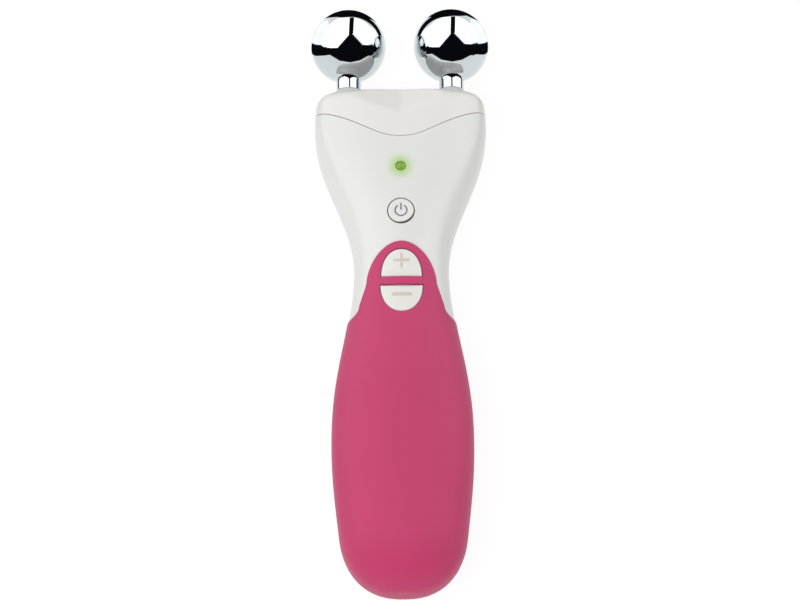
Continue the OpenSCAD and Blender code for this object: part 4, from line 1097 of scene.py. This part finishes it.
paper = bpy.data.materials.new("paper")
paper.use_nodes = True
tree = paper.node_tree
shader = tree.nodes["Principled BSDF"]
shader.inputs["Base Color"].default_value = (0.9, 0.9, 0.9, 1)
shader.inputs["Roughness"].default_value = 0.9
shader.inputs["Specular IOR Level"].default_value = 0
glow = wired(tree, "ShaderNodeEmission", {"Color": WHITE, "Strength": PAPER_GLOW}).outputs["Emission"]
share = maths(tree, "MULTIPLY", seen(tree), GLOW_SHARE)
mix = wired(tree, "ShaderNodeMixShader", {"Fac": share, 1: shader.outputs["BSDF"], 2: glow})
tree.links.new(mix.outputs["Shader"], tree.nodes["Material Output"].inputs["Surface"])
clad(floor, paper)

world = bpy.data.worlds.new("studio")
bpy.context.scene.world = world
world.use_nodes = True
tree = world.node_tree
backdrop = tree.nodes["Background"]
backdrop.inputs["Color"].default_value = WHITE
tree.links.new(ramp(tree, seen(tree), 0, 1, ROOM_LIGHT, 1), backdrop.inputs["Strength"])


def lamp(name, place, target, size, power):
    data = bpy.data.lights.new(name, "AREA")
    data.shape, data.size, data.energy = "SQUARE", size, power
    source = bpy.data.objects.new(name, data)
    bpy.context.scene.collection.objects.link(source)
    source.location = place
    source.rotation_euler = (Vector(target) - Vector(place)).to_track_quat("-Z", "Y").to_euler()
    source.visible_glossy = False


lamp("main_light", (-0.32, -0.3, 0.95), (0, 0, 0), 0.5, 4.0)

VIEW_UP = math.radians(73)
CARD_FAR, CARD_LOW = 0.7, 0.6 * MM
TOWARDS = Vector((0, -math.cos(VIEW_UP), math.sin(VIEW_UP)))
IMAGE_UP = Vector((0, math.sin(VIEW_UP), math.cos(VIEW_UP)))
ball_middle = head_point(0, BALL_AT, BALL_V)


def seen_in_ball(right, up_share):
    """The direction that a ball reflects to the camera from a place on it, in shares of its radius."""
    facing = math.sqrt(max(0, 1 - right * right - up_share * up_share))
    normal = Vector((right, 0, 0)) + IMAGE_UP * up_share + TOWARDS * facing
    return 2 * facing * normal - TOWARDS


def edge_place(edge, t):
    """The place at the share t of an edge that is given as a list of places."""
    i = min(int(t * (len(edge) - 1)), len(edge) - 2)
    f = t * (len(edge) - 1) - i
    return [a + (b - a) * f for a, b in zip(edge[i], edge[i + 1])]


def card(name, low, high, colour, strength, ball=None, across=24, along=16):
    """A studio card between a lower and an upper edge, each a list of places on a ball's reflection.

    It stands far off, unless it is made for one ball: then what the ball shows of it below
    the horizon lies just above the floor.
    """
    middle, rows = ball or ball_middle, []
    for j in range(along + 1):
        row = []
        for i in range(across + 1):
            a, b = edge_place(low, i / across), edge_place(high, i / across)
            way = seen_in_ball(*(p + (q - p) * j / along for p, q in zip(a, b)))
            reach = min(CARD_FAR, (middle.z - CARD_LOW) / max(1e-6, -way.z)) if ball else CARD_FAR
            row.append(middle + way * reach)
        rows.append(row)
    piece = laid_grid(name, rows)
    material = bpy.data.materials.new(name)
    material.use_nodes = True
    tree = material.node_tree
    glow = wired(tree, "ShaderNodeEmission", {"Color": colour, "Strength": strength}).outputs["Emission"]
    tree.links.new(glow, tree.nodes["Material Output"].inputs["Surface"])
    clad(piece, material)
    piece.visible_camera = piece.visible_diffuse = piece.visible_shadow = False
    piece.visible_transmission = False


card("left_softbox", [(-0.9, 0.05), (-0.55, -0.02), (-0.3, -0.02), (0.0, 0.33)],
     [(-0.72, 0.55), (-0.5, 0.77), (-0.3, 0.77), (0.02, 0.79)], WHITE, 1.9)
card("right_softbox", [(0.12, 0.36), (0.4, 0.06), (0.6, 0.05), (0.84, 0.12)],
     [(0.14, 0.8), (0.4, 0.77), (0.6, 0.68), (0.76, 0.52)], WHITE, 1.9)
card("middle_gap", [(0.0, 0.33), (0.12, 0.36)], [(0.02, 0.79), (0.14, 0.8)], BLACK, 1)
for side in (-1, 1):
    middle = head_point(side * BALL_GAP / 2, BALL_AT, BALL_V)
    card("top_black", [(-0.66, 0.7), (-0.3, 0.78), (0.08, 0.81), (0.4, 0.77), (0.72, 0.6)],
         [(-0.68, 0.71), (-0.36, 0.9), (0.04, 0.965), (0.4, 0.9), (0.74, 0.62)], BLACK, 1, middle)
    card("side_black", [(side * 0.62, -0.22), (side * 0.8, -0.2), (side * 0.92, -0.12)],
         [(side * 0.62, 0.05), (side * 0.8, 0.07), (side * 0.9, 0.12)], BLACK, 1, middle)
    card("side_softbox", [(side * 0.6, 0.06), (side * 0.8, 0.08), (side * 0.89, 0.14)],
         [(side * 0.5, 0.7), (side * 0.62, 0.64), (side * 0.74, 0.52)], WHITE, 1.5, middle)
card(
    "dark_room",
    [(-0.88, -0.1), (-0.72, -0.22), (-0.5, -0.2), (-0.25, -0.36), (0.04, -0.41), (0.3, -0.36),
     (0.52, -0.24), (0.7, -0.24), (0.82, -0.1)],
    [(-0.9, 0.1), (-0.72, 0.04), (-0.5, -0.02), (-0.3, -0.02), (0.06, 0.38), (0.36, 0.06),
     (0.52, 0.05), (0.7, 0.1), (0.86, 0.14)],
    BLACK, 1,
)

LENS, SENSOR, WIDE, PIXEL, ROLLED = 1000, 36, 800, 0.2915, math.radians(-0.45)
camera = bpy.data.objects.new("camera", bpy.data.cameras.new("camera"))
bpy.context.scene.collection.objects.link(camera)
bpy.context.scene.camera = camera
camera.data.lens, camera.data.sensor_width = LENS, SENSOR
reach = PIXEL * MM * LENS / SENSOR * WIDE
aim = Vector((-0.5, -0.1, 16.5)) * MM
camera.location = aim + TOWARDS * reach
camera.rotation_mode = "QUATERNION"
level = (-TOWARDS).to_track_quat("-Z", "Y").to_matrix().to_4x4()
camera.rotation_quaternion = (level @ Matrix.Rotation(ROLLED, 4, "Z")).to_quaternion()
bpy.context.scene.view_settings.view_transform = "Standard"
